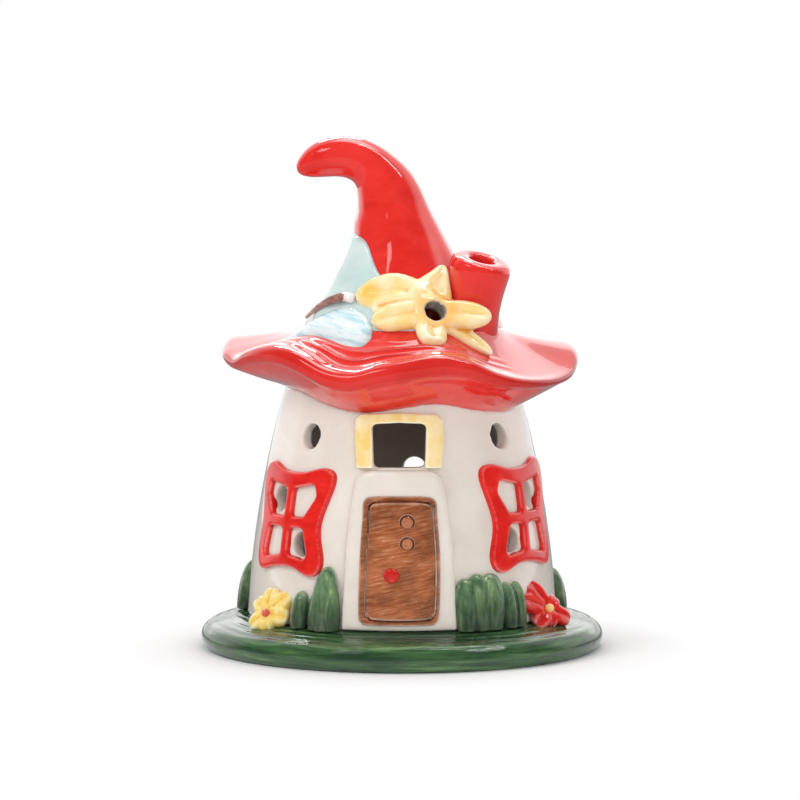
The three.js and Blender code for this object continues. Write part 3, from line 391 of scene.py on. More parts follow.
def facing(direction, radius=0, height=0, tilt=0):
    """The frame of something that faces outwards: x to its right, y up, z out of the house."""
    angle, lift = radians(direction), radians(tilt)
    right = Vector((cos(angle), sin(angle), 0))
    out = Vector((sin(angle) * cos(lift), -cos(angle) * cos(lift), sin(lift)))
    frame_of = Matrix((right, out.cross(right), out)).transposed().to_4x4()
    frame_of.translation = around(radius, direction, height)
    return frame_of


def punch(bm, diameter, place, near, far, flare=0):
    """A round cutter along the place's own z axis."""
    bmesh.ops.create_cone(bm, cap_ends=True, segments=40, radius1=diameter / 2,
                          radius2=diameter / 2 + flare, depth=far - near,
                          matrix=place @ Matrix.Translation((0, 0, (near + far) / 2)))


def pushed(outlines, near, far, place=None, bm=None):
    """A flat shape with holes, pushed along z from one depth to another and set in its place."""
    slab = bmesh.new()
    for outline in outlines:
        corners = [slab.verts.new((x, y, near)) for x, y in outline]
        for pair in zip(corners, corners[1:] + corners[:1]):
            slab.edges.new(pair)
    bmesh.ops.triangle_fill(slab, use_beauty=True, edges=slab.edges, normal=(0, 0, 1))
    grown = bmesh.ops.extrude_face_region(slab, geom=slab.faces[:])["geom"]
    bmesh.ops.translate(slab, vec=(0, 0, far - near),
                        verts=[part for part in grown if isinstance(part, bmesh.types.BMVert)])
    bmesh.ops.recalc_face_normals(slab, faces=slab.faces)
    bmesh.ops.transform(slab, matrix=place or Matrix(), verts=slab.verts)
    if bm is None:
        return slab
    mesh = meshed(slab, "slab")
    bm.from_mesh(mesh)
    bpy.data.meshes.remove(mesh)
    return bm


def changed(bm, kind, **settings):
    """The shape as one modifier leaves it."""
    clay = show(bm, "clay")
    tool = clay.modifiers.new(kind, kind)
    for name, value in settings.items():
        setattr(tool, name, value)
    shape = clay.evaluated_get(bpy.context.evaluated_depsgraph_get())
    done = bmesh.new()
    done.from_mesh(shape.to_mesh())
    shape.to_mesh_clear()
    bpy.data.meshes.remove(clay.data)
    return done


def pierced(bm, cutter):
    """The shape with a cutter taken out of it."""
    tool = show(cutter, "cutter")
    bm = changed(bm, "BOOLEAN", operation="DIFFERENCE", solver="EXACT", object=tool)
    bpy.data.meshes.remove(tool.data)
    return bm


def moulded(bm, grain, passes, cutter=None):
    """Presses overlapping lumps of clay into one, cuts it if asked, and sponges it smooth."""
    bm = changed(bm, "REMESH", mode="VOXEL", voxel_size=grain)
    if cutter:
        bm = changed(pierced(bm, cutter), "REMESH", mode="VOXEL", voxel_size=grain)
    for _ in range(passes):
        bmesh.ops.smooth_vert(bm, verts=bm.verts, factor=0.5,
                              use_axis_x=True, use_axis_y=True, use_axis_z=True)
    return bm


# Width of the round cutter, and the direction and height of each hole: two vents in front, one
# behind, and two in each window
HOLE_WIDTH = 7.2
HOLES = [(-44.5, 65.2), (48.5, 65.2), (174, 50.3)]
# The direction and height of the right and left window's middle, and half its width and height
WINDOWS, WINDOW_HALF = {1: (54.3, 41.6), -1: (-49.5, 40.6)}, (14.6, 15)
PANES = [
    [(-0.62, 0.72), (-0.7, 0.5), (-0.44, 0.1), (0, 0.1), (0, 0.62)],
    [(0, 0.62), (0, 0.1), (0.5, 0.1), (0.74, 0.48), (0.72, 0.72)],
    [(-0.46, -0.12), (-0.62, -0.6), (-0.56, -0.7), (0, -0.62), (0, -0.12)],
    [(0, -0.12), (0, -0.62), (0.6, -0.7), (0.64, -0.58), (0.54, -0.12)],
]
for side in (-1, 1):
    for pane in (1, 2):
        x = sum(point[0] for point in PANES[pane]) / 5 * WINDOW_HALF[0] * side
        y = sum(point[1] for point in PANES[pane]) / 5 * WINDOW_HALF[1]
        x += 0.95 if x > 0 else -0.95
        there, level = WINDOWS[side]
        HOLES.append((there + degrees(asin(x / wall_radius(level))), level + y))

# The door and the attic window stand 0.8 mm to the left of the middle
DOOR_X, ATTIC_MIDDLE = -0.8, 63.5
attic_window = [(7.7 * x, 12.8 * y) for x, y in (
    (-0.94, -0.5), (0.94, -0.5), (1, 0.44), (0.86, 0.5), (0, 0.53), (-0.9, 0.5), (-1, 0.42),
)]
DOORWAY_HALF, SPRING, ARCH_RISE = 22, 12.9, 17.6
doorway = [(-DOORWAY_HALF, -1), (DOORWAY_HALF, -1)] + [
    (DOORWAY_HALF * cos(angle), SPRING + ARCH_RISE * sin(angle))
    for angle in [pi * i / 24 for i in range(25)]
]
# Each cutter reaches from inside the chamber out past the wall
cutter = bmesh.new()
for direction, height in HOLES:
    punch(cutter, HOLE_WIDTH, facing(direction, 0, height), 22, 60)
front = Matrix.Translation((DOOR_X, 0, ATTIC_MIDDLE)) @ facing(0)
pushed([attic_window], 12, 60, front, cutter)
pushed([doorway], 12, 60, facing(180, 0, PLINTH_TOP), cutter)

# A plain tube, whose points then go out to the wall's curve and up to the waved seam
levels = [i / 12 for i in range(13)]
skin = [(0, level) for level in levels] + [(1, level) for level in reversed(levels)]
bm = turned([(46 - 4 * inner, 10 + 66 * level) for inner, level in skin], 144, closed=True)
row = bm.verts.layers.int["row"]
for point in bm.verts:
    inner, level = skin[point[row]]
    direction = direction_of(point.co)
    height = 10.2 + (seam_at(direction) - 10) * level
    point.co = around(wall_radius(height) - WALL_THICKNESS * inner, direction, height)
bm = moulded(bm, 0.62, 4, cutter)


def beside_opening(point):
    """Distance in millimetres from the nearest cut edge of the wall, along its surface."""
    direction, height = direction_of(point), point.z
    radius = wall_radius(height)
    nearest = 99
    for there, level in HOLES:
        turn = (direction - there + 180) % 360 - 180
        if abs(turn) < 40:
            gap = hypot(radius * sin(radians(turn)), height - level) - HOLE_WIDTH / 2
            nearest = min(nearest, gap)
    if point.y < 0:
        return min(nearest, max(abs(point.x - DOOR_X) - 7.5, abs(height - ATTIC_MIDDLE) - 6.5))
    arch = 0
    if abs(point.x) < DOORWAY_HALF:
        arch = SPRING + ARCH_RISE * sqrt(max(1 - (point.x / DOORWAY_HALF) ** 2, 0))
    return min(nearest, max(abs(point.x) - DOORWAY_HALF, height - PLINTH_TOP - arch))


# Away from the cut edges, the two faces of the shell go back to their true curves
for point in bm.verts:
    place = point.co
    flat = hypot(place.x, place.y)
    outer = wall_radius(place.z)
    target = outer if flat > outer - 2.2 else outer - WALL_THICKNESS
    if abs(flat - target) < 0.6 and 10.8 < place.z < seam_at(direction_of(place)) - 0.6:
        hold = min(max(beside_opening(place) / 1.6 - 0.25, 0), 1)
        grow = 1 + (target / flat - 1) * hold
        point.co = (place.x * grow, place.y * grow, place.z)
# Whiter on the rims of the cut edges and darker in the hollows, partly as painted highlight and
# shade
white_wall = glaze("clear_glaze_over_warm_white_slip", "#e2d8cd", "#e9e0d6", "#f0e9e1",
                   (30, 30, 22), "#cfc2b4", "#faf6f0", gloss=0.09, pool=0.6, coat=0.9)
finish(bm, "wall_shell", white_wall)

# Door surround
# A flat sprig of white clay luted to the wall round the door. Its edges are sponged down until
# they run into the wall, and along its foot the glaze is darker, partly where it lies thicker and
# partly as painted shade.


def through(p, q, r, t, share):
    """A smooth curve's value between q and r, given the values before and after them."""
    bend = 2 * p - 5 * q + 4 * r - t + share * (3 * (q - r) + t - p)
    return q + 0.5 * share * (r - p + share * bend)


def soft_outline(points, divisions):
    """A smooth closed outline through a few points."""
    count = len(points)
    outline = []
    for i in range(count):
        four = [points[(i + k) % count] for k in (-1, 0, 1, 2)]
        for step in range(divisions):
            outline.append(tuple(through(*values, step / divisions) for values in zip(*four)))
    return outline


def onto_wall(bm, direction, across, level):
    """Bends a flat sprig, whose z is its relief, on to the wall round a direction."""
    right = around(1, direction + 90, 0)
    out = around(1, direction, 0)
    for point in bm.verts:
        x, height = point.co.x + across, point.co.y + level
        reach = sqrt(max((wall_radius(height) + point.co.z) ** 2 - x * x, 0))
        point.co = right * x + out * reach + Vector((0, 0, height))


surround = [(16.8 * x, 45.8 * y) for x, y in (
    (-1, 0), (1, 0), (0.97, 0.25), (0.91, 0.56), (0.8, 0.86), (0.73, 0.95), (0.6, 0.99),
    (0.4, 1), (-0.4, 1), (-0.6, 0.99), (-0.74, 0.95), (-0.8, 0.86), (-0.91, 0.56), (-0.97, 0.25),
)]
bm = moulded(pushed([surround], -1.2, 2.7), 0.55, 10)
onto_wall(bm, 0, DOOR_X, ON_PLINTH)
finish(bm, "door_surround", white_wall)

# Door
# A sprig of clay in two steps, a margin and a raised panel. The brown underglaze is dragged
# across it with a half-dry brush, rising to the right, and is darker in the groove, partly as
# painted shade.


def door_outline(inset):
    half, low, high, corner = 11.8 - inset, inset, 36.8 - inset, 3
    return soft_outline([
        (-half, low + corner), (-half + 0.9, low + 0.9), (-half + corner, low),
        (half - corner - 0.5, low), (half - 1.3, low + 0.9), (half - 0.3, low + corner),
        (half, high * 0.5), (half * 0.93, high - corner - 3), (half * 0.88, high - 1.2),
        (half * 0.85 - corner, high), (0, high + 0.1), (-half * 0.85 + corner, high),
        (-half * 0.86, high - 1.1), (-half * 0.9, high - corner - 3), (-half * 0.97, high * 0.5),
    ], 6)


bm = pushed([door_outline(0)], 0.5, 3.5)
pushed([[(x + 0.35, y) for x, y in door_outline(1.7)]], 0.5, 5.1, None, bm)
bm = moulded(bm, 0.3, 5)
# The panel is crowned: its sides lie 1.4 mm lower than its middle
for point in bm.verts:
    if point.co.z > 3.6:
        point.co.z -= 1.4 * (abs(point.co.x) / 9.9) ** 3
onto_wall(bm, 0, DOOR_X, 12.4)
brown_door = glaze("half_dry_brushed_brown_glaze", "#98522f", "#b06a44", "#c48e6c", (5, 5, 0.6),
                   "#63301d", "#d9b8a4", lean=12, gloss=0.08)
# The brush was wetter in patches about 8 mm wide
tree = brown_door.node_tree
spot = add(tree, "TexCoord").outputs["Object"]
patches = add(tree, "TexNoise", {"Vector": spot, "Scale": 1000 / 8, "Detail": 2})
wet = add(tree, "MapRange", {"Value": patches.outputs["Fac"], 1: 0.4, 2: 0.6, 3: 0.66, 4: 1.1})
lay(brown_door, 1, wet, "MULTIPLY")
finish(bm, "door", brown_door)

# Knob and studs
# Pellets of clay pressed on to the door with a fingertip. The knob is touched in with red, and
# each stud has a dark ring in the corner round it, brown run in there and painted shade.


def on_door(across, up, relief):
    """The frame of a pellet, given its place as shares of the door's width and height."""
    x, height = DOOR_X + across * 22.6, 12.5 + up * 36
    reach = sqrt((wall_radius(height) + relief) ** 2 - x * x)
    return Matrix.Translation((x, -reach, height)) @ facing(degrees(asin(x / reach)))


red_dab = glaze("red_glaze_dab", "#b8201c", "#d2241d", "#e04a40", (5, 5, 3), "#7c1a12", "#ea6d62")
brown_pellet = glaze("brown_glaze_pellet", "#9c5636", "#b8714c", "#d0a080", (4, 4, 2), "#4d2616",
                     "#d0a78f")
pooled_and_shaded_brown = glaze("brown_glaze_pooled_and_painted_shade_round_a_pellet", "#5c3020", "#72402a", "#8f5a42",
                     (3, 3, 2), "#4a2415", "#a87a62")
# Name, place, radius, height of the dome and of its foot above the door, and glaze
for name, place, radius, dome, sunk, material, slot in [
    ("door_knob", on_door(-0.1, 0.4, 4.7), 2.5, 1.5, -0.5, red_dab, "red_glaze"),
    ("door_stud_upper", on_door(0.1, 0.82, 5.1), 1.95, 0.75, 0.02, brown_pellet, "brown_glaze"),
    ("door_stud_lower", on_door(0.1, 0.65, 5.1), 1.85, 0.75, 0.02, brown_pellet, "brown_glaze"),
]:
    bm = turned([(radius * out, height) for out, height in (
        (0, -0.9), (1.3, -0.9), (1.25, sunk), (1.16, sunk + 0.25), (1.04, sunk),
        (0.95, sunk + 0.1), (0.86, dome * 0.5), (0.7, dome * 0.8), (0.4, dome * 0.97), (0, dome),
    )], 32)
    # Faces in the groove round a stud take the darker brown: glaze run into the corner, and
    # painted shade
    for face in bm.faces:
        middle = face.calc_center_median()
        out = hypot(middle.x, middle.y) / radius
        face.material_index = sunk > 0 and 0.88 < out < 1.14
    bmesh.ops.transform(bm, matrix=place, verts=bm.verts)
    finish(bm, name, material, levels=1, second=pooled_and_shaded_brown)

# Attic window frame
# Two posts and a lintel of yellow clay round the opening, laid on just above the surround.
# The yellow is cream on the raised edges, partly as a painted highlight, and deeper in the brush
# patches and in the hollows, partly as painted shade.

low = -6.5
posts = [
    (-12.4, low), (-7.5, low), (-7.9, 5.2), (-6.9, 6.1), (0, 6.5), (6.6, 6.2), (7.8, 5.4),
    (7.4, low), (12.3, low), (12.9, 2), (12.6, 7.4), (10.8, 8.9), (0, 9.4), (-11.2, 8.9),
    (-12.8, 7.6), (-12.9, 2),
]
bm = moulded(pushed([posts], -1, 2.2), 0.34, 9)
onto_wall(bm, 0, DOOR_X, ATTIC_MIDDLE)
yellow_frame = glaze("thin_yellow_glaze", "#f3d07c", "#f7e0a6", "#fcf2d4", (7, 7, 9), "#e2ba68",
                     "#fcf5dd")
finish(bm, "attic_window_frame", yellow_frame)

# Side windows
# Butterfly-shaped frames of red clay over the punched panes. The bars are rolled round, and
# their edges are pink, partly where the glaze runs thin and partly as a painted highlight.

WINDOW_OUTLINE = [
    (-1.06, 0.82), (-0.82, 1.06), (-0.26, 0.96), (0.28, 0.98), (0.84, 1.12), (1.12, 0.84),
    (0.93, 0.06), (0.97, -0.68), (0.78, -0.99), (0.26, -0.9), (-0.26, -0.88), (-0.78, -1.04),
    (-1, -0.76), (-0.86, -0.06),
]
red_frame = glaze("red_glaze_on_frames", "#d41a15", "#e4241e", "#ec3630", (9, 9, 6), "#a81814",
                  "#f4968f")
for name, side in (("left_window_frame", -1), ("right_window_frame", 1)):
    half, high = WINDOW_HALF
    outline = soft_outline([(x * half * side, y * high) for x, y in WINDOW_OUTLINE], 6)
    # A pane keeps 1.6 mm from the middle bar, and the right frame leans by 0.04
    panes = []
    for pane in PANES:
        away = 1.6 if sum(point[0] for point in pane) > 0 else -1.6
        panes.append([((x * 15 + away * (x == 0)) * side, y * 15.4) for x, y in pane])
    bm = moulded(pushed([outline] + panes, -1.4, 1.65), 0.34, 12)
    for point in bm.verts:
        point.co.x += 0.04 * point.co.y * (side > 0)
    onto_wall(bm, WINDOWS[side][0], 0, WINDOWS[side][1])
    finish(bm, name, red_frame)

# Brim of the hat
# A hollow fold of clay with a rolled rim, waved by hand while it was soft: it drapes low over
# the door and lifts at the sides. The red glaze is thick, with ripples behind the front crest.

# Direction of a point of the rim, its reach beyond 50 mm, the lift of its crest above 85.3 mm,
# and the depth of the roll below that
RIM_WAVE = [
    (0, -3.2, 3.1, 6.5), (14, -3, 4.8, 6.8), (26, -2.4, 3.1, 6), (36, -1.7, -0.3, 5),
    (46, -0.8, -2.3, 3.6), (57, 0.4, -2.9, 3), (68, 1.3, -2.3, 3), (78, 2.1, -0.4, 3.4),
    (90, 2.8, 4.2, 4.2), (105, 2.4, 6.8, 5), (125, 1.2, 7.5, 5.5), (145, 0.5, 6, 6),
    (165, 0, 3.5, 6), (188, 0, 5.2, 6), (208, 0.3, 4.4, 6), (228, 1.5, 7.2, 6),
    (248, 3, 8.4, 5.5), (262, 3.9, 7.6, 5), (274, 3.7, 4.8, 4.5), (284, 2, 3, 4.5),
    (294, 1, 5.3, 5), (305, 0, 6.9, 5.5), (314, -0.8, 6.5, 5.8), (322, -1.6, 4.4, 6),
    (331, -2.3, 1, 6), (341, -2.8, -0.1, 6.2), (350, -3.1, 1.6, 6.4),
]
# The top where it meets the crown, the radius there, and the radius of the hollow's foot
BRIM_TOP, BRIM_SEAT, BRIM_HOLLOW = 96.5, 30.2, 32.5


def mixed(low, high, share):
    return low + (high - low) * share


def rim_at(direction):
    """The rim's reach, and the heights of its crest and of the underside of its roll."""
    out, lift, depth = (waved(RIM_WAVE, direction, column) for column in (1, 2, 3))
    return 50 + out, 85.3 + lift, 85.3 + lift - depth


def brim_top(direction, radius):
    """Height of the brim's upper face, falling from the crown to just behind the crest."""
    reach, top, _ = rim_at(direction)
    share = min(max((radius - BRIM_SEAT) / (reach - 2.6 - BRIM_SEAT), 0), 1)
    height = mixed(BRIM_TOP, top, share ** 0.62)
    # Ripples 3.7 mm apart stand behind the crest, where the hands pressed it over the door
    turn = (direction + 180) % 360 - 180
    back = reach - 2.6 - radius
    if abs(turn + 10) < 60 and back > 0:
        hand = cos((turn + 10) / 60 * pi / 2)
        drift = noise.noise(Vector((direction / 13, radius / 9, 2)))
        fold = abs(sin(back * 0.85 + turn / 16 + 1.1 * drift)) ** 0.8
        height += 0.7 * hand ** 0.6 * (0.9 - 2 * fold) * exp(-((back - 4.5) / 5.5) ** 2)
    return height


def brim_profile(direction):
    """The brim's closed section: seam, underside, roll, upper face and the hollow inside."""
    reach, top, under = rim_at(direction)
    seam = seam_at(direction)
    seat = wall_radius(seam) + 0.5
    roll_in = reach - 1.6
    profile = [(BRIM_HOLLOW, seam - 0.6), (seat - 1.2, seam - 0.6), (seat, seam)]
    for share in (0.12, 0.3, 0.5, 0.7, 0.88):
        profile.append((mixed(seat, roll_in, share), mixed(seam + 0.3, under, share ** 1.2)))
    for inset, share in ((1.7, 0), (0.8, 0.07), (0.25, 0.2), (0, 0.38), (0, 0.58), (0.35, 0.76),
                         (1.1, 0.9), (2.3, 1)):
        profile.append((reach - inset, mixed(under, top, share)))
    upper = [reach - 3.6, reach - 5] + [mixed(reach - 6, BRIM_SEAT, i / 24) for i in range(25)]
    profile += [(radius, brim_top(direction, radius)) for radius in upper]
    hollow = reach - 12
    middle = (brim_top(direction, hollow) + mixed(seam, under, 0.6)) / 2
    profile += [(24, BRIM_TOP), (24, 92), ((24 + hollow) / 2, BRIM_TOP - 8),
                (hollow, middle + 0.3), (hollow, middle - 0.3), (BRIM_HOLLOW, seam + 4.5)]
    return profile


bm = turned([(32 + i, 80 + i) for i in range(len(brim_profile(0)))], 180, closed=True)
row = bm.verts.layers.int["row"]
profiles = {}
for point in bm.verts:
    direction = round(direction_of(point.co), 3) % 360
    if direction not in profiles:
        profiles[direction] = brim_profile(direction)
    radius, height = profiles[direction][point[row]]
    point.co = around(radius, direction, height)
bmesh.ops.recalc_face_normals(bm, faces=bm.faces)
# Pink on the crests and dark red in the hollows are partly painted highlight and painted shade
red_hat = glaze("thick_signal_red_glaze", "#dc241e", "#ea322c", "#f04039", (24, 24, 14),
                "#a01410", "#f28e88", coat=1)
finish(bm, "hat_brim", red_hat, levels=1)

# Crown of the hat
# A hollow peak that curls over to the left, cast thin, with soft folds round its foot. It shares
# the brim's red glaze, and a vent opens through it behind the flower.

# Middle to the right, rise as a share of 40.2 mm, radius, and lean in degrees
CROWN_SECTIONS = [
    (0.3, -0.02, 28.9, 0), (0.3, 0, 28.6, 0), (0.3, 0.092, 27.2, 0), (0.1, 0.192, 24.8, 0),
    (-0.3, 0.303, 20.9, 0), (-0.5, 0.428, 18, 0), (-0.5, 0.535, 15.8, 0), (-0.8, 0.639, 13.9, 0),
    (-1.9, 0.759, 12.5, 0), (-2.6, 0.876, 10.7, 1), (-3.9, 1, 9.6, 4), (-5.6, 1.085, 8.5, 16),
    (-8.3, 1.154, 7.3, 33), (-11.2, 1.204, 6.7, 51), (-14.8, 1.24, 6.4, 70),
    (-18.9, 1.25, 6.1, 84), (-23.5, 1.235, 5.6, 95), (-27.5, 1.204, 4.5, 100),
    (-30.3, 1.17, 2.6, 103), (-31.4, 1.158, 1, 104),
]
CROWN_BASE, CROWN_RISE, LAST_UPRIGHT_ROW = 96.8, 40.2, 11


def between(rows, place):
    """Reads a table at a fractional row, as a smooth curve through its rows."""
    last = len(rows) - 1
    low = min(int(place), last - 1)
    four = [rows[min(max(low + k, 0), last)] for k in (-1, 0, 1, 2)]
    return [through(*values, place - low) for values in zip(*four)]


def angles(count):
    """Angles that go evenly round a ring."""
    return [2 * pi * i / count for i in range(count)]


def folded(angle, share):
    """How far the soft folds of the crown's foot swell it at an angle and a share of its rise."""
    depth = 0.026 * min(max(1.1 - share, 0), 1)
    waves = cos(5 * angle + 0.6) + 0.6 * cos(8 * angle + 2) + 0.5 * cos(15 * angle + 1)
    return 1 + depth * waves


def crown_ring(place, grow=0):
    """Points round the crown at a fractional row of its table."""
    x, share, radius, lean = between(CROWN_SECTIONS, place)
    middle = Vector((x, 0, CROWN_BASE + share * CROWN_RISE))
    across = Vector((cos(radians(lean)), 0, sin(radians(lean))))
    ring = []
    for angle in angles(72):
        reach = (radius + grow) * folded(angle, share)
        ring.append(middle + across * reach * cos(angle) + Vector((0, reach * sin(angle), 0)))
    return ring


def lofted(rings, bm=None):
    """A skin drawn over a stack of rings, closed at both ends."""
    bm = bm or bmesh.new()
    spot = bm.verts.layers.int.get("spot") or bm.verts.layers.int.new("spot")
    sides = len(rings[0])
    ring = bmesh.ops.create_circle(bm, segments=sides, radius=1)["verts"]
    for number, point in enumerate(ring):
        point[spot] = number
    first = edges = list(dict.fromkeys(edge for point in ring for edge in point.link_edges))
    skin = []
    for number, points in enumerate(rings):
        if number:
            grown = bmesh.ops.extrude_edge_only(bm, edges=edges)["geom"]
            ring = [part for part in grown if isinstance(part, bmesh.types.BMVert)]
            new = set(ring)
            edges = [part for part in grown
                     if isinstance(part, bmesh.types.BMEdge) and set(part.verts) <= new]
            skin += [part for part in grown if isinstance(part, bmesh.types.BMFace)]
        for point in ring:
            point.co = points[point[spot]]
    for end in (first, edges):
        skin += bmesh.ops.holes_fill(bm, edges=end, sides=sides)["faces"]
    bmesh.ops.recalc_face_normals(bm, faces=skin)
    return bm


def crown_row(rise):
    """The fractional row of the crown's table at a height above its foot."""
    low, high = 0, LAST_UPRIGHT_ROW
    for _ in range(30):
        middle = (low + high) / 2
        if between(CROWN_SECTIONS, middle)[1] * CROWN_RISE < rise:
            low = middle
        else:
            high = middle
    return low


# Width of the vent behind the flower, and how far it goes in
FLOWER_VENT, VENT_DEPTH = 6.6, 14


def bored(bm):
    """Marks the faces in the vent behind the flower for the second material, bare clay painted
    darker as shade.
    """
    back = flower_place.inverted()
    for face in bm.faces:
        there = back @ face.calc_center_median()
        off = hypot(there.x, there.y)
        face.material_index = off < FLOWER_VENT / 2 + 0.15 and there.z > -VENT_DEPTH


def vented(bm):
    """The shape with the vent behind the flower cut through it."""
    cutter = bmesh.new()
    punch(cutter, FLOWER_VENT, flower_place, -VENT_DEPTH, 20)
    bm = pierced(bm, cutter)
    bored(bm)
    return bm


flower_place = facing(18.6, between(CROWN_SECTIONS, crown_row(5.2))[2] + 2.6, 101.4, 28)
outside = [crown_ring(i / 3) for i in range(58)]
inside = [crown_ring(i / 2, -3.5) for i in range(19)]
# Bare clay inside the bores, painted grey-brown as the shade that lies in them
bare_and_shaded_clay = glaze("bare_clay_with_painted_shade_in_the_bores", "#9d9080", "#b3a694", "#c4b8a8", (5, 5, 5), "#82766a",
                  "#cfc6b8", gloss=0.35)
finish(vented(lofted(outside[::-1] + inside)), "hat_crown", red_hat,
       second=bare_and_shaded_clay)

# Band of the hat
# A wide sash of thin clay wound round the foot of the crown. It climbs to the left and runs low
# behind the flower, in a pale blue wash that is white on its raised upper edge, partly as a
# painted highlight.

# Direction and rise of the sash's upper edge above the crown's foot
BAND_EDGE = [
    (0, 12), (25, 10.5), (50, 5), (68, 0.4), (100, 0.4), (122, 7.5), (150, 14.5), (180, 19.5),
    (210, 22.6), (240, 25.6), (270, 27.6), (300, 27), (315, 25.2), (323, 23.2), (329, 20.8),
    (335, 18.2), (342, 15.4),
]
bm = bmesh.new()
bmesh.ops.create_grid(bm, x_segments=120, y_segments=16, size=1)
for point in bm.verts:
    direction = point.co.x * 180
    share = (point.co.y + 1) / 2
    rise = mixed(-0.6, waved(BAND_EDGE, direction), share)
    x, _, radius, _ = between(CROWN_SECTIONS, crown_row(rise))
    fold = folded(radians(direction) - pi / 2, rise / CROWN_RISE)
    # It is 1.5 mm thick, rolls in at its foot, and sinks into the crown where its edge runs out
    thick = 1.5 * min((1 - share) * 14 + 0.1, 1) ** 0.5
    thick += 0.25 * sin(share * 7 + direction / 31) * (1 - share)
    thick -= 2 * max(1 - waved(BAND_EDGE, direction) / 3, 0)
    point.co = around((radius + thick) * fold, direction, CROWN_BASE + rise) + Vector((x, 0, 0))
bmesh.ops.remove_doubles(bm, verts=bm.verts, dist=0.01)
bmesh.ops.recalc_face_normals(bm, faces=bm.faces)
bmesh.ops.solidify(bm, geom=bm.faces[:], thickness=1.2)
blue_band = glaze("pale_blue_wash_band", "#c2d9d8", "#cfe0de", "#deebe9", (16, 16, 9), "#8fa9aa",
                  "#f6faf9")
finish(vented(bm), "hat_band", blue_band, second=bare_and_shaded_clay)

# Chimney
# A short pot with a collar, leaning to the right and to the front, luted to brim and crown. Its
# bore was cut with the same punch as the vents and runs through into the hat.

pot_place = (Matrix.Translation(around(20.7, 61, 94.5)) @ Matrix.Rotation(radians(14), 4, "Y")
             @ Matrix.Rotation(radians(15), 4, "X"))
bm = turned([
    (3.6, -1), (11, -1), (10.7, 1.4), (9.7, 4.4), (9.05, 7.4), (8.8, 10.5), (8.75, 13.4),
    (8.85, 16.4), (9, 18.6), (9.1, 20.2), (9.1, 21.4), (8.85, 22.6), (8.3, 23.4), (7.5, 23.85),
    (6.4, 24), (4.9, 23.95), (4, 23.6), (3.62, 22.9), (3.6, 21.4), (3.6, 10),
], 72, closed=True)
bmesh.ops.transform(bm, matrix=pot_place, verts=bm.verts)
finish(bm, "chimney", red_hat, levels=1)

# Flower
# Seven fat petals pressed into one sprig round the vent, each with a groove along its middle. The
# yellow is orange where it pools near the eye, thins to cream along the edges, and is deeper in
# the hollows between the petals, partly as painted shade.

# Each petal's middle line from the eye: to the right, to the back and up, and its width there
PETALS = [
    [(0, 0.6, 1, 8), (-2.5, 1.8, 2.8, 10), (-6.8, 3.5, 5, 11.8), (-11.2, 4.6, 6.2, 12),
     (-15.6, 4.9, 5.6, 11), (-19.1, 5.3, 4.8, 9), (-23, 6.3, 4.4, 5)],
    [(-1, 0.6, 0.6, 10), (-1.2, 2.7, 3, 14), (0.2, 6.5, 6.6, 11.6), (1.8, 9.6, 10.2, 6.4),
     (2.9, 12.3, 13.4, 2.4)],
    [(0, 0.4, -0.2, 8), (4, 0.5, -0.4, 8.6), (8, 0.9, -0.5, 9), (12.5, 1.2, -1, 8.2),
     (17, 1.6, -1.4, 3.4)],
    [(0.6, 0.2, -0.6, 6), (3.4, 0.3, -3, 5.8), (7.2, 1.2, -5.4, 5.6), (10.7, 1, -7.9, 5),
     (14.2, 0.5, -10.2, 3.8), (17.2, -0.4, -12.4, 1.8)],
    [(0, 0, -0.4, 9), (-0.4, -0.9, -2.3, 9.8), (-0.8, -2.4, -4.9, 9.8), (-0.5, -5.2, -7, 9),
     (-0.2, -8, -8.6, 6)],
    [(0, 0.2, 0, 8), (-2.4, -0.3, -0.4, 8.6), (-6.2, -0.9, -0.5, 9), (-9.7, -1.3, -1, 9),
     (-13.8, -1.4, -1.8, 8.4), (-18.2, -0.9, -2.8, 4.4)],
    [(0, 0, 0.4, 8), (-5, 0.6, 1.4, 9), (-9.4, 1.2, 1.7, 9), (-14, 2, 1.5, 8),
     (-18.4, 2.6, 1.2, 4.4)],
]


def petal(bm, eye, out, points):
    """A fat petal drawn along its middle line, with a groove down its face."""
    last, steps = len(points) - 1, 20
    line = [between(points, last * i / steps) for i in range(steps + 1)]
    rings = []
    for i, (*there, width) in enumerate(line):
        along = Vector(line[min(i + 1, steps)][:3]) - Vector(line[max(i - 1, 0)][:3])
        side = out.cross(along).normalized()
        face = along.cross(side).normalized()
        share = i / steps
        end = max(share - 0.86, 0) / 0.14
        wide = width / 2 * sqrt(1 - 0.97 * end ** 2)
        thick = (mixed(1.8, 2.5, sin(pi * min(share, 0.5))) * sqrt(1 - 0.9 * end ** 2)
                 * min(width / 6, 1) ** 0.5)
        ring = []
        for angle in angles(24):
            groove = 1 - 0.42 * exp(-((angle - pi / 2) / 0.4) ** 2) * (1 - end)
            ring.append(eye + Vector(there) + side * wide * cos(angle)
                        + face * thick * sin(angle) * groove)
        rings.append(ring)
    lofted(rings, bm)


bm = bmesh.new()
for points in PETALS:
    petal(bm, flower_place.translation, flower_place.col[2].to_3d(), points)
bmesh.ops.create_uvsphere(bm, u_segments=32, v_segments=16, radius=6.2,
                          matrix=flower_place @ Matrix.Diagonal((1, 1, 0.3, 1)))
cutter = bmesh.new()
punch(cutter, 6.4, flower_place, -12, 1.2)
punch(cutter, 6.4, flower_place, 1.2, 8, flare=2)
bm = moulded(bm, 0.36, 4, cutter)
bored(bm)
petal_glaze = glaze("yellow_glaze_thinned_to_cream", "#f6d88c", "#fae6b4", "#fcf2d2", (9, 9, 9),
                    "#e8a136", "#fefae4")
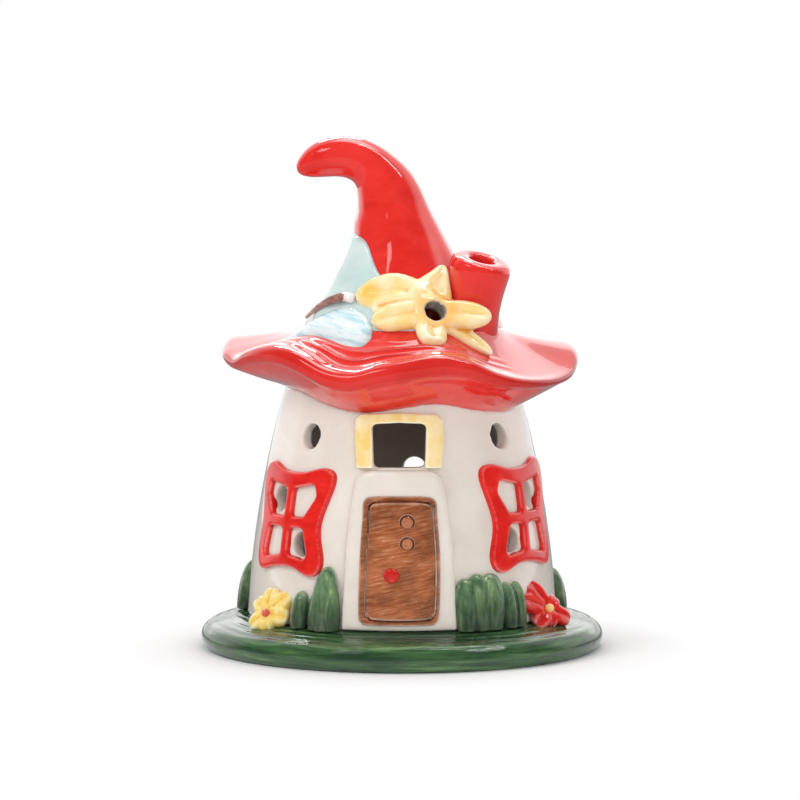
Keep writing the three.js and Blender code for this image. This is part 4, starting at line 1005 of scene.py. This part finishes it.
# Orange round the eye and a deep yellow spot on the left petal: the middle of each from the eye,
# how far it reaches in full and at all, and its tone
tree = petal_glaze.node_tree
spot = add(tree, "TexCoord").outputs["Object"]
for offset, near, far, code in [((1, 0, 1.5), 4, 9, "#f7b548"),
                                ((-18.6, 4, 5.5), 1.5, 5.5, "#f5bf2c")]:
    gap = add(tree, "VectorMath", {
        0: spot, 1: (flower_place.translation + Vector(offset)) / 1000,
    }, operation="DISTANCE")
    zone = add(tree, "MapRange", {
        "Value": gap.outputs["Value"], 1: near / 1000, 2: far / 1000, 3: 0.75, 4: 0,
    }, interpolation_type="SMOOTHSTEP")
    lay(petal_glaze, zone, linear(code))
finish(bm, "flower", petal_glaze, second=bare_and_shaded_clay)

# Bow
# A flat loop of clay ribbon laid into the corner between crown and brim, pinched at its knot
# beside the flower. It is left white under the glaze with a few strokes of the band's blue.

# Direction, and the rise on the hat of its lower and its upper edge
BOW_SECTIONS = [
    (-16.5, -2, 1), (-20, -3.6, 3), (-28, -4.2, 5.6), (-39, -4.4, 6.2), (-51, -4.8, 4.2),
    (-60, -7.2, 0.6), (-66, -8, -6.2),
]


def on_hat(direction, rise):
    """A place on the hat: above zero it climbs the crown, below zero it runs out on the brim."""
    if rise > 0:
        radius = between(CROWN_SECTIONS, crown_row(rise))[2] + 1.5
        return around(radius, direction, CROWN_BASE + rise)
    return around(30.1 - rise, direction, brim_top(direction, 30.1 - rise))


rings = []
for i in range(25):
    direction, low, high = between(BOW_SECTIONS, i / 4)
    lower = on_hat(direction, low) - Vector((0, 0, 0.9))
    upper = on_hat(direction, high)
    across = (upper - lower) / 2
    away = across.cross(around(1, direction + 90, 0)).normalized()
    # It swells from 1.2 to 2.3 mm over its first and last five rings, and is pleated between
    full = min(i, 24 - i, 5) / 5
    half = mixed(1.2, 2.3, sin(full * pi / 2))
    ring = []
    for angle in angles(32):
        pleat = 0.8 * cos(6 * angle + i / 5) * full
        ring.append((upper + lower) / 2 + across * cos(angle) * mixed(0.72, 1, full)
                    + away * (half * sin(angle) + 0.8 + pleat * (sin(angle) > 0)))
    rings.append(ring)
bm = moulded(lofted(rings), 0.36, 3)
bow_glaze = glaze("white_glaze_with_blue_strokes", "#b4dae2", "#e2f0f3", "#f6fafb",
                  (11, 11, 1.5), "#a4c6cd", "#fbfdfd", lean=-16)
finish(bm, "ribbon_bow", bow_glaze)

# Twig
# A bent stick of rolled clay that follows the bow's upper edge, its end painted pale as a
# highlight.
# The brown underglaze is brushed along it unevenly.

# Direction and rise on the hat, from the thin end to the cut one
TWIG_PATH = [(-66, 2.6), (-57, 5.8), (-48, 8), (-39, 9), (-32, 8.6)]
line = [on_hat(direction, rise) + around(1.8, direction, 0)
        for direction, rise in (between(TWIG_PATH, i / 4) for i in range(17))]
rings = []
for i, middle in enumerate(line):
    along = (line[min(i + 1, 16)] - line[max(i - 1, 0)]).normalized()
    side = along.cross(Vector((0, 0, 1))).normalized()
    rise = side.cross(along)
    thick = mixed(0.4, 1.45, sin(pi / 2 * min(i / 13, 1))) + 0.05 * sin(i * 1.9) - 0.2 * (i == 16)
    rings.append([middle + side * thick * cos(angle) + rise * thick * sin(angle)
                  for angle in angles(20)])
bm = lofted(rings)
# Its end, from 17.3 mm left of the axis onwards, takes the pale glaze: a painted highlight
for face in bm.faces:
    face.material_index = face.calc_center_median().x > -17.3
twig_glaze = glaze("brown_glaze_on_twig", "#7a4a44", "#9c6f64", "#b98f82", (4, 4, 1.6), "#5c3634",
                   "#c5a398")
highlight_end = glaze("pale_glaze_painted_as_highlight_on_the_end", "#e6d6d0", "#f2e6e2", "#faf4f1", (3, 3, 3),
                 "#a98a80", "#ffffff")
finish(bm, "twig", twig_glaze, second=highlight_end)

# Leaves
# Blades of clay that stand on the plinth and lean on the wall, a few pressed together in each
# clump. Their green is brushed upwards and is dark in the folds between the blades, partly as
# pooled glaze and partly as painted shade, and it is painted darker towards the foot as shade.

# Height, width and thickness of a blade from its foot to its tip, as shares of the whole
BLADE_FORM = [
    (-0.03, 0.84, 1), (0.1, 0.92, 1), (0.3, 1, 1), (0.5, 0.99, 0.95), (0.66, 0.91, 0.87),
    (0.8, 0.8, 0.74), (0.9, 0.63, 0.6), (0.96, 0.45, 0.44), (1, 0.2, 0.25),
]
# Direction, width, height, slant round the wall and taper of each blade
CLUMPS = {
    "left_leaf": [(-31.4, 5.6, 12.4, 0.6, 0.2), (-28.2, 10.4, 18, 0.4, 0.3),
                  (-25, 5.6, 13.4, -0.4, 0.2)],
    "left_sprout": [(-38.4, 5.8, 10.4, 0, 0)],
    "right_bush": [(23, 7.4, 14.6, 0, -0.1), (27.9, 8.4, 15.8, 0, -0.1),
                   (32.8, 8.6, 15.8, 0.8, -0.1)],
    "right_clump": [(40.6, 5, 12.9, 0, 0), (44.8, 5, 12.8, 0.6, 0)],
    "far_left_leaf": [(-100, 10, 14.4, -2, 0.5)],
    "far_right_leaf": [(100, 10, 12, 2, 0.5)],
}
green_leaf = glaze("brushed_green_glaze_leaves", "#48644a", "#68865f", "#a0b48a", (2.2, 2.2, 12),
                   "#1f3524", "#93ab86")
# Painted shade: the green is darker towards the foot of the blades, dimmed to a third at the
# plinth's top and a little brighter than full from 22 mm above the table
tree = green_leaf.node_tree
spot = add(tree, "TexCoord").outputs["Object"]
height = add(tree, "SeparateXYZ", {"Vector": spot})
foot_shade = add(tree, "MapRange", {"Value": height.outputs["Z"], 1: 0.0115, 2: 0.022, 3: 0.34, 4: 1.04})
lay(green_leaf, 1, foot_shade, "MULTIPLY")
for name, blades in CLUMPS.items():
    bm = bmesh.new()
    for direction, width, height, slant, taper in blades:
        rings = []
        for share, wide, thick in BLADE_FORM:
            level = 10.6 + share * height
            turn = direction + slant * share
            middle = around(wall_radius(level) + 0.3 + 1.47 * thick, turn, level)
            across = around(1, turn + 90, 0) * (width / 2 * wide * (1 - taper * share))
            out = around(1, turn, 0) * 2.4 * thick
            rings.append([middle + across * cos(angle) + out * sin(angle)
                          * (1 + 0.16 * exp(-((angle - pi / 2) / 0.3) ** 2))
                          for angle in angles(20)])
        lofted(rings, bm)
    finish(moulded(bm, 0.36, 4), name, green_leaf)

# Ground flowers
# Sprigged blooms of six lobes that lean in the corner of wall and plinth. Each has a pellet of
# another colour pressed into its middle.

yellow_bloom = glaze("yellow_glaze_bloom", "#f5c95a", "#f9dd82", "#fdeeb4", (4, 4, 4), "#dfa038",
                     "#fdf5d0")
red_bloom = glaze("red_glaze_bloom", "#cc1814", "#e0241e", "#ea463f", (5, 5, 4), "#8e1512",
                  "#f4a49e")
orange_dab = glaze("orange_glaze_dab", "#e0962a", "#f0ab3c", "#f8cd6c", (4, 4, 3), "#b06a1c",
                   "#fbe2a0")
# The rise and the width of a lobe along its length, as shares of its length and width
LOBE_FORM = [(0, -0.2, 0.6), (0.35, 0.5, 0.95), (0.7, 0.5, 1), (1, -0.4, 0.7)]
# Name, place and tilt of the bloom, its glaze and its eye's, the eye's radius, and the angle,
# length and width of its lobes
for name, place, bloom, dab, slot, eye_slot, eye, lobes in [
    ("yellow_ground_flower", Matrix.Translation(around(49.3, -52, 13)) @ facing(-32, 0, 0, 26),
     yellow_bloom, red_dab, "yellow_glaze", "red_glaze", 1.1,
     [(92, 8, 5.8), (48, 8.6, 6.4), (-4, 6.8, 6.4), (-80, 4.6, 5.6), (-140, 6, 5.6),
      (138, 6.4, 5.2)]),
    ("red_ground_flower", Matrix.Translation(around(49.3, 59, 13.8)) @ facing(36, 0, 0, 26),
     red_bloom, orange_dab, "red_glaze", "orange_glaze", 1.35,
     [(116, 9.6, 6.4), (155, 9, 6.4), (-140, 6.8, 6), (-88, 4.6, 5), (-28, 7.8, 5.6),
      (40, 5, 5)]),
]:
    bm = bmesh.new()
    for angle, length, width in lobes:
        along = Vector((cos(radians(angle)), sin(radians(angle)), 0))
        points = []
        for share, lift, wide in LOBE_FORM:
            there = place.to_3x3() @ (along * length * share + Vector((0, 0, lift)))
            points.append((*there, width * wide))
        petal(bm, place.translation, place.col[2].to_3d(), points)
    finish(moulded(bm, 0.34, 4), name, bloom)
    bm = turned([(0, 0.4), (eye, 0.6), (eye * 1.06, 2), (eye * 0.96, 2.6), (eye * 0.6, 3.1),
                 (0, 3.3)], 32)
    bmesh.ops.transform(bm, matrix=place, verts=bm.verts)
    finish(bm, name + "_eye", dab, levels=1)

# Tealight
# A standard 38 mm tealight: white wax in a drawn aluminium cup, with a waxed cotton wick held by
# a stamped tab. It slides out through the doorway at the back.


def plain(name, values, pattern, inputs, scale, tones, satin, bump, depth, **settings):
    """A material in which one pattern varies the colour, the gloss and the surface."""
    material, tree, shader = opened(name, values)
    spot = add(tree, "TexCoord").outputs["Object"]
    sized = add(tree, "Mapping", {"Vector": spot, "Scale": scale})
    texture = add(tree, pattern, {"Vector": sized, "Scale": 1, **inputs}, **settings)
    value = texture.outputs["Fac"]
    dark, light = map(linear, tones)
    colour = add(tree, "Mix", {0: value, 6: dark, 7: light}, data_type="RGBA")
    rough = add(tree, "MapRange", {"Value": value, 3: satin[0], 4: satin[1]})
    relief = add(tree, "Bump", {"Height": value, "Strength": bump, "Distance": depth})
    feed(shader, {"Base Color": colour.outputs[2], "Roughness": rough, "Normal": relief})
    return material


# Aluminium foil with faint rings from the drawing, 0.3 mm apart up its side
foil = plain("drawn_aluminium_cup", {"Metallic": 1}, "TexNoise", {"Detail": 3},
             (300, 300, 3000), ("#b9bcc0", "#dcdee0"), (0.22, 0.38), 0.15, 0.0002)
# Paraffin that has set slightly clouded, in spots 4.5 mm wide
paraffin = plain("white_paraffin_wax", {"IOR": 1.44}, "TexNoise", {"Detail": 4},
                 (220, 220, 220), ("#ece6d8", "#f8f5ec"), (0.35, 0.55), 0.2, 0.0004)
# Twisted cotton threads 0.35 mm apart, dull under their wax
cotton = plain("waxed_cotton_wick", {}, "TexWave", {"Distortion": 1.5},
               (900, 900, 900), ("#d9cfb6", "#f1ead9"), (0.6, 0.85), 0.4, 0.0003,
               bands_direction="DIAGONAL")
for name, material, slot, profile in [
    ("tealight_cup", foil, "cup", [
        (0, 0.25), (6, 0.25), (7, 0), (17.6, 0), (18.6, 0.35), (19, 1.2), (18.95, 14.6),
        (19, 15.3), (18.8, 15.5), (18.6, 15.3), (18.5, 14.6), (18.5, 1.1), (18, 0.6), (7, 0.5),
        (6, 0.7), (0, 0.7),
    ]),
    ("tealight_wax", paraffin, "wax", [
        (6.9, 0.8), (18, 0.8), (18.2, 1.1), (18.2, 11.6), (18, 12), (14, 11.85), (6, 11.7),
        (2.5, 11.6), (1.6, 11.9), (1.1, 11.8), (1.1, 1.7), (6.9, 1.7), (6.9, 0.8),
    ]),
    ("tealight_wick_tab", foil, "cup", [
        (0, 0.75), (6.1, 0.75), (6.5, 0.9), (6.5, 1.2), (5.6, 1.3), (0, 1.35),
    ]),
    ("tealight_wick", cotton, "wick", [
        (0, 1.6), (0.78, 1.6), (0.8, 2), (0.74, 14), (0.8, 15.8), (0.55, 16.6), (0.25, 17),
        (0, 17),
    ]),
]:
    bm = turned(profile, 64)
    bmesh.ops.translate(bm, vec=(0, 0, ON_PLINTH), verts=bm.verts)
    finish(bm, name, material, prefix="plain_", body="tealight")
